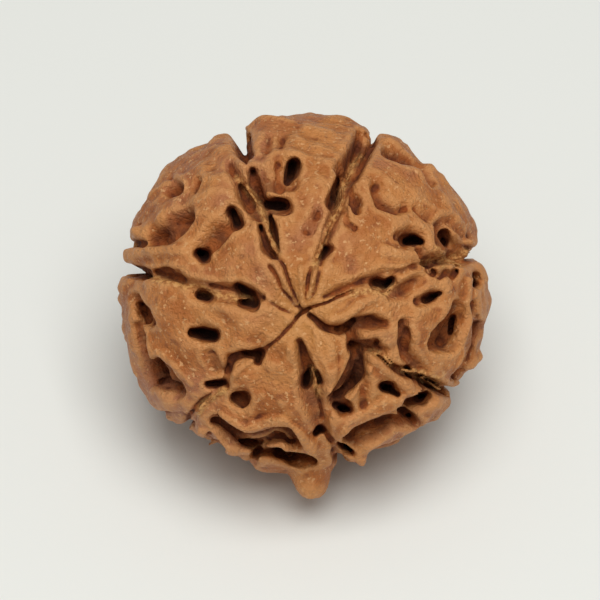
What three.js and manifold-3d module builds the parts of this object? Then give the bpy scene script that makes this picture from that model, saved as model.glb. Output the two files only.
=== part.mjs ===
// A rudraksha seed: the hard stone of the fruit, cleaned and dried, with seven lobes.
// It lies on a small flat spot with its apex, where the seven seams meet, turned up and forward.
//
// Millimetres, +Z up. The origin is the middle of the flat spot, straight below the seed's centre.
// The body is one grown piece: a ball that is slightly flat from pole to pole, cut by the seams
// into lobes, whose skin is a raised net of plateaus round deep hollows.
//
// The skin is worked out in the face's frame, in which the face looks along +Z, and then set down.
import * as THREE from "three";
import { mergeVertices } from "three/addons/utils/BufferGeometryUtils.js";
import Module from "manifold-3d";

const EQUATOR_RADIUS = 11.6; // from the axis to the shoulders of the lobes
const POLE_RADIUS = 10.1; // from the centre to the apex
const BODY_SHIFT = 0.6; // how much further the skin is from the centre at the top of the face
const BODY_FLATNESS = 0.35; // how much nearer it is at the top and the bottom than at the sides
const SKIN_RADIUS = 11.2; // a typical radius, for distances along the skin
const FACE_TILT = 50; // degrees from the horizon up to the face's normal
const REST_HEIGHT = 10.4; // from the flat spot up to the seed's centre
const REST_PAD_RADIUS = 10.6; // the skin's radius round the flat spot, before that is cut
const REST_BARE_RADIUS = 3.0; // skin round the flat spot that has no relief
const REST_FADE_RADIUS = 5.0; // beyond this the relief is at full depth

const MESH_DETAIL = 23; // how often each edge of the starting icosahedron is divided
const MERGE_DISTANCE = 1e-6;
const GATHER = { rounds: 10, pull: 5, steepest: 1.2 }; // draws vertices to steep walls

// Places on the face are [across, up, half width] from its middle, seen straight on.
const APEX = [-0.12, -0.56];

// The seams past the face: angle round the face, depth, and half width
const SEAMS = [
  [111, 1.7, 0.55],
  [67, 0.8, 0.14],
  [16, 1.0, 0.35],
  [-30, 1.0, 0.3],
  [-76.5, 1.3, 0.35],
  [-134, 1.1, 0.32],
  [168.7, 1.5, 0.4],
];
const SEAM_REACH = { from: 9.4, to: 11.0 }; // distance from the axis over which they deepen on the face
const SEAM_END = { from: 1.5, to: 4.0 }; // the same round the far pole
const SEAM_WALL = { from: -0.35, to: 0.15 }; // where a seam's wall starts and ends, from its edge
const SHOULDER_SAG = 0.4; // how far the lobes' shoulders round off beside a seam
const SHOULDER_WIDTH = 1.1;

// Hollows in the skin of the face: depth, rounding of the rim, and the places that each runs through
const HOLLOWS = {
  topLobe: [
    [2.3, 0.2, [-0.65, 8.5, 0.36], [-0.8, 8.0, 0.36], [-1.05, 7.55, 0.22]],
    [0.35, 0.2, [-1.5, 8.5, 0.1], [-1.5, 7.7, 0.12]],
    [2.5, 0.2, [-2.15, 6.15, 0.33], [-1.6, 6.1, 0.42], [-1.2, 6.05, 0.38]],
    [1.3, 0.25, [-3.15, 8.15, 0.14], [-3.1, 7.4, 0.26], [-2.75, 6.5, 0.3]],
    [2.1, 0.2, [2.15, 7.8, 0.1], [1.95, 7.1, 0.2], [1.75, 6.3, 0.33], [1.68, 6.05, 0.3]],
    [1.7, 0.15, [-1.6, 3.3, 0.08], [-1.75, 3.9, 0.17], [-1.9, 4.6, 0.16], [-2.0, 5.3, 0.08]],
  ],
  upperRightLobe: [
    [1.9, 0.2, [1.42, 3.35, 0.26], [1.15, 2.9, 0.18]],
    [0.35, 0.15, [2.5, 5.6, 0.07], [2.65, 5.0, 0.08], [3.1, 4.65, 0.08]],
    [2.4, 0.2, [6.25, 3.85, 0.33], [6.7, 3.95, 0.36], [7.1, 3.85, 0.2]],
    [1.9, 0.2, [8.72, 4.35, 0.33], [8.9, 3.95, 0.28]],
    [0.6, 0.2, [9.4, 3.65, 0.12], [10.2, 3.45, 0.14], [10.9, 3.35, 0.1]],
  ],
  rightLobe: [
    [2.4, 0.2, [4.45, 1.3, 0.33], [5.0, 1.15, 0.38], [5.4, 1.5, 0.22]],
    [2.0, 0.2, [7.6, 0.3, 0.22], [7.9, 0.5, 0.24], [8.3, 0.62, 0.1]],
    [1.0, 0.12, [7.7, 2.05, 0.2], [8.2, 1.9, 0.18], [9.0, 1.75, 0.16], [9.7, 1.85, 0.12]],
    [1.1, 0.15, [9.75, -0.15, 0.28], [9.5, -0.8, 0.36], [9.35, -1.6, 0.46], [9.0, -2.3, 0.5],
    [8.5, -2.6, 0.25]],
    [1.8, 0.2, [8.6, -2.55, 0.15], [9.0, -2.3, 0.28], [9.3, -1.9, 0.2]],
    [1.2, 0.2, [10.85, 1.85, 0.2], [10.9, 1.3, 0.26]],
    [1.4, 0.22, [6.25, -1.5, 0.13], [6.2, -2.2, 0.25], [6.35, -3.0, 0.25], [6.85, -3.7, 0.2],
    [7.6, -4.25, 0.18]],
    [1.7, 0.2, [6.3, -4.1, 0.25]],
    [1.7, 0.2, [3.0, -2.5, 0.22], [3.35, -2.7, 0.24], [3.7, -2.95, 0.12]],
    [0.9, 0.2, [4.5, -2.3, 0.12]],
    [0.7, 0.2, [10.55, 0.1, 0.1], [10.75, -0.6, 0.14], [10.85, -1.2, 0.14], [10.55, -1.9, 0.14],
    [10.35, -2.6, 0.16], [10.25, -3.4, 0.14], [9.9, -4.1, 0.14], [9.4, -4.6, 0.1]],
  ],
  lowerRightLobe: [
    [1.3, 0.25, [3.4, -3.2, 0.4], [3.3, -4.1, 0.5], [2.8, -4.9, 0.42], [2.15, -5.5, 0.22]],
    [2.3, 0.2, [4.95, -5.0, 0.3], [5.3, -5.1, 0.3], [5.8, -5.5, 0.1]],
    [0.9, 0.25, [5.3, -7.0, 0.15], [4.2, -7.55, 0.25], [3.3, -7.95, 0.22]],
    [2.1, 0.2, [2.05, -6.15, 0.25], [2.5, -6.4, 0.36], [2.8, -6.5, 0.2]],
    [2.3, 0.2, [6.0, -6.55, 0.12], [6.5, -6.9, 0.3], [7.0, -7.3, 0.22]],
    [1.8, 0.2, [6.9, -6.2, 0.3], [7.4, -5.95, 0.25]],
    [1.9, 0.2, [7.35, -4.85, 0.22], [7.9, -5.0, 0.35], [8.4, -5.2, 0.2]],
    [0.9, 0.12, [8.9, -5.25, 0.1], [9.15, -5.7, 0.1]],
    [1.0, 0.2, [4.3, -9.45, 0.16], [5.1, -9.15, 0.18]],
  ],
  bottomLobe: [
    [2.3, 0.2, [0.35, -3.95, 0.18], [0.22, -4.4, 0.34], [0.15, -4.8, 0.3]],
    [1.7, 0.15, [0.72, -4.2, 0.14], [0.95, -4.8, 0.16]],
    [0.5, 0.2, [1.55, -6.3, 0.15], [1.35, -6.8, 0.12]],
    [1.8, 0.18, [0.75, -7.9, 0.16], [1.0, -7.62, 0.26], [1.3, -7.72, 0.12]],
    [1.5, 0.2, [2.3, -8.8, 0.12], [2.6, -9.0, 0.22], [3.0, -9.25, 0.1]],
    [0.7, 0.2, [2.0, -9.2, 0.12], [2.1, -9.9, 0.14]],
    [1.4, 0.22, [-5.6, -7.15, 0.18], [-5.0, -7.45, 0.25], [-4.4, -7.95, 0.3], [-3.8, -8.45, 0.33],
    [-3.2, -8.6, 0.33], [-2.5, -8.35, 0.32], [-1.9, -8.1, 0.32], [-1.25, -8.0, 0.35],
    [-0.75, -8.45, 0.22]],
    [2.4, 0.2, [-1.6, -9.4, 0.25], [-0.8, -9.65, 0.3], [-0.1, -9.72, 0.36], [0.5, -9.75, 0.25]],
    [1.1, 0.25, [-3.1, -9.4, 0.1], [-2.3, -9.25, 0.25], [-1.6, -9.3, 0.3]],
    [1.3, 0.18, [-4.2, -5.75, 0.33], [-3.7, -5.85, 0.42]],
    [0.6, 0.15, [-7.2, -8.25, 0.1], [-6.6, -8.55, 0.12], [-6.1, -8.6, 0.1]],
    [0.55, 0.15, [-5.95, -8.15, 0.08], [-5.55, -8.7, 0.12], [-5.1, -9.1, 0.1]],
  ],
  leftLobe: [
    [2.6, 0.2, [-6.85, -1.7, 0.27], [-6.2, -1.75, 0.41], [-5.55, -1.85, 0.39]],
    [2.2, 0.2, [-6.3, 0.55, 0.28], [-5.9, 0.5, 0.31]],
    [2.3, 0.2, [-3.6, 0.1, 0.3], [-3.1, 0.05, 0.37]],
    [1.2, 0.2, [-10.3, -0.1, 0.18], [-10.0, -0.5, 0.33], [-9.7, -0.95, 0.28]],
    [0.8, 0.22, [-10.35, -1.3, 0.12], [-10.15, -2.0, 0.2], [-9.95, -2.9, 0.2], [-9.65, -3.7, 0.18],
    [-9.25, -4.6, 0.15]],
    [2.3, 0.2, [-3.5, -3.0, 0.14], [-2.9, -2.95, 0.27], [-2.62, -2.95, 0.28], [-2.75, -3.5, 0.18]],
    [0.6, 0.2, [-3.8, -3.15, 0.15], [-4.4, -3.45, 0.15], [-4.75, -4.2, 0.12], [-4.8, -4.8, 0.12]],
    [1.8, 0.18, [-5.9, -4.9, 0.13], [-5.5, -4.85, 0.2], [-4.95, -4.82, 0.19], [-4.75, -5.0, 0.1]],
    [1.0, 0.15, [-9.0, -4.9, 0.2], [-8.5, -4.9, 0.36], [-7.8, -5.1, 0.22]],
    [0.9, 0.2, [-9.0, -3.5, 0.08], [-8.5, -4.1, 0.14]],
  ],
  upperLeftLobe: [
    [2.3, 0.2, [-4.35, 5.55, 0.3], [-4.1, 5.0, 0.32]],
    [2.4, 0.2, [-6.45, 3.15, 0.3], [-6.15, 3.0, 0.42]],
    [0.7, 0.2, [-10.0, 3.85, 0.14], [-11.0, 3.75, 0.16]],
    [0.9, 0.2, [-9.2, 2.05, 0.1], [-8.5, 2.0, 0.2], [-7.9, 1.8, 0.26], [-7.4, 1.5, 0.1]],
    [2.3, 0.2, [-3.95, 1.05, 0.24], [-3.6, 0.8, 0.32], [-3.1, 0.6, 0.2]],
    [1.0, 0.25, [-3.9, 7.35, 0.12], [-3.6, 6.6, 0.32], [-3.2, 5.9, 0.25]],
    [1.5, 0.15, [-1.9, 2.9, 0.12], [-2.25, 3.3, 0.17], [-2.5, 4.0, 0.12], [-2.75, 4.8, 0.08]],
  ],
};

// The seams on the face, from the apex outward, in the same form
const FACE_SEAMS = [
  [1.0, 0.2, [-9.7, 2.05, 0.1], [-10.1, 2.1, 0.2], [-10.8, 2.1, 0.35]],
  [0.5, 0.12, [-0.15, -0.3, 0.1], [-0.55, 0.4, 0.1], [-0.85, 1.4, 0.1], [-1.2, 2.2, 0.11], [-1.8, 3.0, 0.12]],
  [1.0, 0.2, [-3.3, 9.2, 0.1], [-3.6, 9.8, 0.3], [-3.75, 10.4, 0.45]],
  [0.9, 0.1, [-0.4, -0.8, 0.09], [0.0, -0.45, 0.15], [0.4, -0.18, 0.1]],
  [0.7, 0.1, [-0.35, -0.8, 0.1], [-0.85, -1.35, 0.1], [-1.45, -1.93, 0.1], [-2.05, -2.5, 0.11],
   [-2.4, -2.8, 0.12]],
  [0.7, 0.1, [-0.4, -0.65, 0.09], [-1.3, -0.32, 0.1], [-1.9, -0.05, 0.12], [-2.5, 0.2, 0.18],
   [-2.9, 0.25, 0.2]],
  [0.35, 0.12, [-0.45, -0.1, 0.08], [-1.2, 0.8, 0.09], [-2.1, 2.3, 0.12]],
  [0.3, 0.12, [0.1, 0.3, 0.08], [0.25, 1.2, 0.1], [0.5, 2.2, 0.12]],
  [0.3, 0.12, [0.45, 0.3, 0.08], [0.85, 1.4, 0.1], [1.15, 2.4, 0.12]],
  [0.4, 0.2, [0.9, 2.9, 0.1], [1.5, 4.8, 0.16], [2.1, 5.8, 0.2], [2.35, 6.9, 0.25], [2.8, 8.0, 0.25],
   [3.4, 9.3, 0.25], [3.9, 10.3, 0.3]],
  [0.9, 0.15, [3.15, 7.8, 0.12], [3.5, 8.4, 0.1], [3.9, 9.2, 0.12], [4.3, 10.0, 0.12],
   [4.5, 10.8, 0.14]],
  [0.7, 0.1, [0.35, -0.2, 0.1], [1.3, 0.1, 0.1], [2.05, 0.48, 0.1], [3.0, 0.85, 0.09]],
  [0.9, 0.15, [5.2, 1.85, 0.12], [6.2, 2.15, 0.12], [7.4, 2.4, 0.15], [8.6, 2.65, 0.15],
   [10.2, 3.0, 0.2]],
  [0.8, 0.15, [0.4, -0.65, 0.07], [0.9, -1.05, 0.08], [1.5, -1.45, 0.12], [2.1, -1.55, 0.2],
   [2.6, -1.4, 0.15],
   [3.1, -0.95, 0.08]],
  [1.0, 0.15, [4.0, -2.85, 0.08], [4.8, -3.35, 0.1], [5.6, -3.95, 0.15], [6.4, -4.3, 0.2],
   [7.2, -4.55, 0.15],
   [7.9, -4.95, 0.2], [8.5, -5.25, 0.2], [9.1, -5.5, 0.2]],
  [0.9, 0.15, [0.8, -4.7, 0.1], [1.1, -5.7, 0.08], [1.2, -6.6, 0.08], [1.35, -7.3, 0.08],
   [1.6, -8.1, 0.08],
   [2.0, -8.6, 0.12], [2.2, -9.4, 0.2], [2.5, -9.9, 0.3]],
  [0.6, 0.15, [-0.15, -2.3, 0.07], [0.0, -3.0, 0.15], [0.3, -3.7, 0.25]],
  [1.0, 0.2, [-4.9, -5.1, 0.1], [-5.5, -5.35, 0.12], [-6.2, -5.9, 0.16], [-6.8, -6.8, 0.18],
   [-7.1, -7.4, 0.25]],
  [0.7, 0.15, [-4.0, 1.05, 0.12], [-4.6, 1.15, 0.12], [-6.0, 1.3, 0.1], [-7.2, 1.5, 0.1]],
  [0.45, 0.15, [-4.4, 0.1, 0.1], [-5.4, 0.3, 0.1]],
  [0.45, 0.15, [-6.7, 0.65, 0.08], [-7.6, 0.8, 0.1]],
];

// Broad dips and terraces round the hollows: depth, half the width of the slope at the edge, and places
const DIPS = [
  [0.35, 0.4, [-1.5, 8.6, 0.45], [-1.4, 7.7, 0.5], [-0.8, 7.6, 0.5]],
  [0.5, 0.35, [-2.9, 8.1, 0.35], [-2.4, 7.7, 0.45], [-1.5, 7.35, 0.3]],
  [0.5, 0.35, [-2.3, 6.2, 0.4], [-1.2, 6.1, 0.45]],
  [0.8, 0.4, [3.5, 10.4, 0.3], [3.1, 9.4, 0.45], [2.4, 8.4, 0.4]],
  [0.6, 0.35, [4.2, 10.2, 0.3], [3.3, 8.6, 0.4], [2.4, 7.0, 0.45], [2.0, 5.6, 0.35], [1.4, 4.0, 0.25],
   [0.9, 2.6, 0.15]],
  [0.35, 0.4, [0.3, 4.6, 0.4], [0.9, 5.7, 0.3]],
  [0.35, 0.2, [-2.3, 10.4, 0.15], [-2.4, 9.7, 0.22]],
  [0.3, 0.2, [-1.4, 10.4, 0.12], [-1.45, 9.9, 0.2]],
  [0.25, 0.2, [-0.4, 11.4, 0.1], [-0.3, 10.9, 0.15], [0.7, 10.6, 0.15]],
  [0.4, 0.15, [3.5, 10.6, 0.25], [3.45, 9.9, 0.25], [3.1, 9.2, 0.3], [2.7, 8.5, 0.25]],
  [0.7, 0.2, [5.2, 9.55, 0.3], [5.9, 9.35, 0.42], [6.6, 9.1, 0.35]],
  [0.7, 0.2, [6.9, 8.85, 0.22], [7.5, 8.15, 0.28], [8.0, 7.5, 0.18]],
  [0.4, 0.4, [5.6, 9.6, 0.5], [7.2, 8.8, 0.5]],
  [0.8, 0.35, [3.1, 6.9, 0.2], [3.25, 6.4, 0.38], [3.3, 5.9, 0.2]],
  [0.5, 0.2, [3.2, 6.6, 0.15], [3.3, 6.2, 0.18]],
  [0.5, 0.3, [5.9, 4.3, 0.25], [6.6, 4.55, 0.3], [7.3, 4.3, 0.3], [7.45, 3.6, 0.2]],
  [0.5, 0.4, [4.5, 7.3, 0.3], [4.85, 6.3, 0.4], [5.7, 5.9, 0.35], [6.4, 6.0, 0.2]],
  [0.4, 0.4, [7.1, 6.1, 0.25], [7.9, 5.5, 0.35]],
  [0.6, 0.4, [8.7, 5.0, 0.4], [8.9, 4.1, 0.6], [9.9, 3.6, 0.3]],
  [0.35, 0.4, [9.3, 5.2, 0.3], [10.3, 4.4, 0.3]],
  [0.8, 0.3, [7.35, 3.4, 0.25], [7.8, 2.9, 0.35], [9.0, 2.9, 0.3], [10.2, 3.2, 0.3]],
  [0.5, 0.4, [1.3, 0.45, 0.1], [2.5, 1.0, 0.2], [3.9, 1.5, 0.3], [5.0, 1.9, 0.3]],
  [0.5, 0.4, [5.5, 0.6, 0.3], [6.4, 0.9, 0.5], [7.2, 1.5, 0.4]],
  [0.5, 0.35, [7.2, 0.2, 0.3], [8.2, 0.5, 0.35]],
  [0.6, 0.3, [6.2, -1.2, 0.3], [6.3, -2.3, 0.4], [6.6, -3.3, 0.4], [7.5, -4.2, 0.3]],
  [0.9, 0.35, [2.4, -1.6, 0.25], [3.4, -1.2, 0.4], [4.3, -1.1, 0.45], [5.0, -1.2, 0.2]],
  [0.9, 0.35, [3.1, -1.9, 0.35], [3.2, -2.7, 0.45], [4.2, -2.6, 0.4], [4.9, -2.9, 0.25]],
  [1.0, 0.35, [3.5, -3.2, 0.5], [3.3, -4.2, 0.6], [2.6, -5.3, 0.45], [1.9, -5.9, 0.3]],
  [0.9, 0.3, [2.0, -6.2, 0.35], [2.6, -6.5, 0.45]],
  [0.35, 0.3, [3.9, -4.9, 0.25], [3.7, -6.2, 0.35]],
  [0.9, 0.2, [6.3, -6.7, 0.35], [7.2, -6.2, 0.45], [7.9, -5.7, 0.3]],
  [0.8, 0.2, [7.3, -4.85, 0.35], [8.4, -5.2, 0.4]],
  [0.8, 0.15, [7.0, -7.4, 0.3], [5.6, -7.3, 0.5], [4.2, -8.0, 0.6], [3.1, -8.5, 0.6]],
  [0.6, 0.3, [4.6, -9.7, 0.6], [6.4, -9.2, 0.7], [8.2, -7.9, 0.5]],
  [0.5, 0.3, [-0.3, -2.3, 0.2], [0.0, -3.2, 0.4], [0.3, -4.5, 0.5]],
  [0.5, 0.4, [0.1, -5.0, 0.4], [0.5, -6.0, 0.5], [0.9, -7.3, 0.35]],
  [0.3, 0.15, [-5.6, -9.1, 0.2], [-4.4, -9.7, 0.3], [-3.2, -9.9, 0.35]],
  [0.3, 0.3, [-3.9, -5.8, 0.6]],
  [0.4, 0.4, [-4.9, -4.2, 0.3], [-4.6, -3.4, 0.3], [-3.7, -3.2, 0.2]],
  [0.4, 0.4, [-5.9, -3.2, 0.4], [-5.4, -4.1, 0.4]],
  [0.3, 0.5, [-6.2, -1.8, 0.6]],
  [0.6, 0.3, [-10.6, 0.4, 0.3], [-10.0, -0.6, 0.5], [-9.6, -1.1, 0.3]],
  [0.6, 0.2, [-10.5, -1.3, 0.2], [-10.2, -2.6, 0.25], [-9.7, -4.2, 0.3], [-9.3, -5.0, 0.25]],
  [0.3, 0.15, [11.0, -1.3, 0.35], [10.8, -2.6, 0.4], [10.4, -3.6, 0.4], [9.9, -4.5, 0.35]],
  [0.3, 0.2, [-9.0, -6.75, 0.12], [-7.6, -6.9, 0.15]],
  [0.6, 0.25, [-9.2, -3.7, 0.3], [-8.7, -4.7, 0.7], [-7.9, -5.5, 0.4]],
  [0.4, 0.2, [-10.0, 1.95, 0.2], [-8.3, 1.75, 0.3], [-6.6, 1.2, 0.3], [-5.0, 0.9, 0.3], [-3.6, 0.7, 0.3]],
  [0.4, 0.3, [-6.9, 0.6, 0.25], [-5.5, 0.45, 0.3], [-3.6, 0.15, 0.35]],
  [0.9, 0.45, [-9.2, 4.2, 0.5], [-8.6, 4.5, 0.65], [-8.0, 5.0, 0.6], [-7.3, 5.6, 0.35]],
  [0.7, 0.25, [-9.6, 3.95, 0.2], [-8.9, 4.05, 0.3], [-8.5, 4.4, 0.15]],
  [0.5, 0.25, [-7.9, 5.15, 0.2], [-7.2, 5.35, 0.2]],
  [0.7, 0.35, [-8.4, 7.1, 0.25], [-8.0, 7.35, 0.35]],
  [0.6, 0.25, [-6.8, 7.15, 0.12], [-6.6, 7.7, 0.2]],
  [0.7, 0.4, [-4.3, 5.4, 0.4], [-5.4, 4.5, 0.6], [-6.3, 3.6, 0.5]],
  [0.5, 0.3, [-4.6, 8.7, 0.3], [-4.0, 7.6, 0.35], [-3.6, 6.6, 0.45], [-3.1, 5.6, 0.35]],
  [0.5, 0.3, [-3.2, 8.3, 0.2], [-2.9, 7.0, 0.4], [-2.5, 5.6, 0.4], [-2.2, 4.2, 0.35],
   [-1.8, 3.0, 0.2]],
  [0.6, 0.3, [-4.0, 1.1, 0.2], [-3.5, 0.75, 0.4], [-2.6, 0.45, 0.2]],
];

// What stands above the skin of the face, in the same form
const RAISED = [
  [0.35, 0.2, [3.85, -3.95, 0.25], [3.2, -5.0, 0.25], [2.4, -6.0, 0.25]],
  [0.3, 0.25, [4.2, -3.4, 0.2], [5.4, -4.3, 0.25], [6.4, -5.1, 0.3], [7.3, -5.5, 0.15]],
  [0.3, 0.15, [7.2, -5.6, 0.2], [6.0, -5.8, 0.35], [5.0, -6.2, 0.4], [4.0, -6.8, 0.4], [2.9, -7.3, 0.35],
   [2.3, -8.1, 0.25]],
  [0.35, 0.15, [-6.2, -7.6, 0.2], [-5.4, -7.95, 0.22], [-4.8, -8.65, 0.22], [-4.2, -8.95, 0.2],
   [-3.3, -8.98, 0.15], [-2.6, -8.8, 0.15], [-1.9, -8.45, 0.12], [-1.3, -8.6, 0.12], [-0.9, -9.05, 0.15]],
  [0.3, 0.12, [-5.1, -5.3, 0.12], [-6.0, -6.0, 0.12], [-6.9, -7.0, 0.15], [-7.3, -7.8, 0.2]],
  [0.15, 0.2, [-10.0, 3.1, 0.3], [-11.1, 3.05, 0.4]],
  [0.4, 0.12, [-8.0, 4.6, 0.12]],
  [0.3, 0.2, [-7.35, 7.6, 0.15], [-7.4, 7.1, 0.15]],
  [0.15, 0.12, [-1.75, 2.5, 0.1], [-1.05, 1.2, 0.1], [-0.4, 0.0, 0.08]],
  [0.15, 0.15, [-0.2, 2.2, 0.12], [-0.15, 1.0, 0.12], [-0.05, 0.0, 0.08]],
  [0.25, 0.12, [1.5, 4.9, 0.08], [1.1, 3.6, 0.08], [0.8, 2.4, 0.09], [0.5, 1.2, 0.09],
   [0.25, 0.4, 0.07]],
  [0.2, 0.15, [-0.9, -2.7, 0.15]],
  [0.2, 0.15, [-3.0, -3.45, 0.1], [-3.9, -3.9, 0.2], [-4.4, -4.4, 0.25]],
  [0.22, 0.2, [-2.85, 8.3, 0.1], [-2.8, 7.6, 0.12], [-2.35, 7.05, 0.15], [-1.5, 6.9, 0.15],
   [-0.7, 6.85, 0.1]],
  [0.3, 0.2, [3.7, -2.1, 0.2]],
  [0.3, 0.25, [8.4, -6.1, 0.35]],
  [0.5, 0.3, [3.5, -9.6, 0.2]],
  [0.5, 0.25, [2.4, -10.3, 0.2]],
  [0.4, 0.4, [-10.5, 4.6, 0.3]],
  [0.4, 0.3, [9.3, -5.4, 0.2]],
  [0.12, 0.15, [-1.1, -1.0, 0.15], [-0.8, -1.0, 0.15]],
  [0.2, 0.2, [-4.8, 6.35, 0.1], [-4.2, 6.1, 0.12], [-3.6, 5.75, 0.1], [-3.1, 5.3, 0.08],
   [-2.75, 4.6, 0.06]],
  [0.35, 0.15, [-5.0, -6.8, 0.3], [-3.5, -7.6, 0.3], [-2.2, -7.1, 0.3], [-1.3, -7.0, 0.3],
   [-0.3, -7.8, 0.35],
   [0.5, -8.8, 0.35]],
  [0.3, 0.15, [10.2, 1.5, 0.2], [10.25, 0.4, 0.2], [10.45, -0.9, 0.2], [10.0, -3.0, 0.2],
   [9.4, -4.2, 0.2]],
  [0.35, 0.15, [-9.9, -1.6, 0.2], [-9.4, -3.0, 0.25], [-8.6, -3.1, 0.25], [-7.7, -3.9, 0.25],
   [-7.0, -4.9, 0.2]],
  [0.25, 0.2, [0.8, -1.3, 0.3], [1.3, -2.6, 0.6], [1.7, -4.0, 0.35], [1.65, -5.2, 0.2]],
  [0.3, 0.2, [1.6, -0.9, 0.2], [2.6, -0.7, 0.25], [3.4, 0.1, 0.3], [4.2, 0.3, 0.2]],
  [0.35, 0.25, [5.0, 3.3, 0.4], [6.0, 3.1, 0.3], [7.0, 3.0, 0.25]],
  [0.25, 0.25, [-7.5, 3.3, 0.3], [-8.8, 3.3, 0.3], [-10.2, 3.1, 0.3]],
];

// The knob on the bottom lobe: where it points, and the rounds that it is built up from
const KNOB_TOWARD = [0.45, -11.2, 0.6];
const KNOB = [
  [0.3, 0.4, [0, 0, 1.35]],
  [0.6, 0.25, [0, 0, 1.05]],
  [0.7, 0.35, [0, 0, 0.8]],
];

// The far side has hollows of the same kind, placed by a rule: a spiral of even spacing.
const FAR = {
  spiralPoints: 150,
  faceLimit: -0.05, // cosine to the face's normal below which the rule takes over
  halfWidth: [0.3, 0.6],
  endWidth: 0.4, // least share of the half width that is left at a hollow's end
  depth: [0.8, 2.0],
  length: [0.3, 3.2],
  lean: 38, // most degrees that a hollow turns from running round the seed
  dip: { size: 0.45, rim: 0.45 }, // the broad dip round each hollow
  dipWidth: 0.55, // how much wider the dip is
};
const GOLDEN_ANGLE = Math.PI * (3 - Math.sqrt(5));

// The scar that the stalk left, at the far pole
const SCAR = { pitRadius: 0.8, pitDepth: 1.7, collarRadius: 1.9, collarWidth: 0.75, collarHeight: 0.4 };

// Waves that make the skin lumpy
const LUMPS = [
  { pitch: 7.3, height: 0.15, shift: 0.4 },
  { pitch: 3.4, height: 0.1, shift: 1.9 },
];
const WALL = 0.2; // half the width of the slope that a hollow's wall is
const TURN_AWAY = { from: -2.5, to: 0 }; // a stroke fades out over these heights over its plane
const BLEND = 0.12; // rounding where hollows meet

const FULL_TURN = 2 * Math.PI;
const { smoothstep, lerp, degToRad: radians } = THREE.MathUtils;

// The direction of the apex: where a line straight into the face at that place meets the skin
function directionTo([across, up]) {
  const inside = 1 - (across ** 2 + (up - BODY_SHIFT) ** 2) / EQUATOR_RADIUS ** 2;
  return new THREE.Vector3(across, up, POLE_RADIUS * Math.sqrt(inside)).normalize();
}

const axis = directionTo(APEX);
const rest = new THREE.Vector3(0, -Math.cos(radians(FACE_TILT)), -Math.sin(radians(FACE_TILT)));

// A repeatable number from 0 to 1
function scatter(index, salt) {
  const value = Math.sin(index * 12.9898 + salt * 78.233) * 43758.5453;
  return value - Math.floor(value);
}

function wave(point, pitch, shift) {
  const turn = FULL_TURN / pitch;
  const bend = Math.sin(turn * 0.8 * point.z + 3 * shift);
  const first = Math.sin(turn * (point.x + 0.6 * point.y) + shift + 1.5 * bend);
  return first * Math.cos(turn * (point.y - 0.5 * point.z) + 2 * shift + bend);
}

// A stroke is a course over the skin, drawn on a plane that is looked at along its outward axis.
function faceStroke([size, rim, ...course]) {
  return {
    size,
    rim,
    course,
    right: new THREE.Vector3(1, 0, 0),
    up: new THREE.Vector3(0, 1, 0),
    outward: new THREE.Vector3(0, 0, 1),
  };
}

function knobStroke([size, rim, ...course]) {
  const outward = new THREE.Vector3(...KNOB_TOWARD).normalize();
  const right = new THREE.Vector3(1, 0, 0).addScaledVector(outward, -outward.x).normalize();
  const up = new THREE.Vector3().crossVectors(outward, right);
  return { size, rim, course, right, up, outward };
}

// The rule's hollows: each runs round the seed, more or less, with a slight bend
function farStrokes() {
  const strokes = [];
  for (let i = 0; i < FAR.spiralPoints; i += 1) {
    const height = 1 - (2 * (i + 0.5)) / FAR.spiralPoints;
    const ring = Math.sqrt(1 - height ** 2);
    const turn = i * GOLDEN_ANGLE;
    const outward = new THREE.Vector3(ring * Math.sin(turn), ring * Math.cos(turn), height);
    if (outward.z > FAR.faceLimit) continue;
    const right = new THREE.Vector3().crossVectors(axis, outward).normalize();
    right.applyAxisAngle(outward, radians(FAR.lean) * (2 * scatter(i, 1) - 1));
    const reach = lerp(...FAR.length, scatter(i, 2) ** 2) / 2;
    const bend = reach * 0.5 * (2 * scatter(i, 3) - 1);
    const wide = lerp(...FAR.halfWidth, scatter(i, 4));
    const course = [
      [-reach, 0, wide * lerp(FAR.endWidth, 1, scatter(i, 6))],
      [0, bend, wide],
      [reach, 0, wide * lerp(FAR.endWidth, 1, scatter(i, 7))],
    ];
    const up = new THREE.Vector3().crossVectors(outward, right);
    strokes.push({ size: lerp(...FAR.depth, scatter(i, 5)), course, right, up, outward });
  }
  return strokes;
}

// Signed distance on a stroke's plane from a point to its outline, negative inside
function gapTo(stroke, point) {
  const x = point.dot(stroke.right);
  const y = point.dot(stroke.up);
  const { course } = stroke;
  let nearest = Infinity;
  for (let i = 0; i < Math.max(1, course.length - 1); i += 1) {
    const [startX, startY, startWidth] = course[i];
    const [endX, endY, endWidth] = course[Math.min(i + 1, course.length - 1)];
    const runX = endX - startX;
    const runY = endY - startY;
    const along = (x - startX) * runX + (y - startY) * runY;
    const share = along > 0 ? Math.min(1, along / (runX ** 2 + runY ** 2)) : 0;
    const distance = Math.hypot(x - startX - runX * share, y - startY - runY * share);
    nearest = Math.min(nearest, distance - lerp(startWidth, endWidth, share));
  }
  return nearest;
}

// How much of a stroke's size applies at a point, from 0 outside the slope at its edge to 1 inside
function shareOf(stroke, point, slope) {
  const ahead = smoothstep(point.dot(stroke.outward), TURN_AWAY.from, TURN_AWAY.to);
  return ahead === 0 ? 0 : ahead * (1 - smoothstep(gapTo(stroke, point), -slope, slope));
}

const farHollows = farStrokes();
const farDips = farHollows.map((stroke) => {
  const course = stroke.course.map(([x, y, halfWidth]) => [x, y, halfWidth + FAR.dipWidth]);
  return { ...stroke, ...FAR.dip, course };
});
const hollows = [...Object.values(HOLLOWS).flat(), ...FACE_SEAMS].map(faceStroke).concat(farHollows);
const dips = DIPS.map(faceStroke).concat(farDips);
const raised = [...RAISED.map(faceStroke), ...KNOB.map(knobStroke)];

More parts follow.
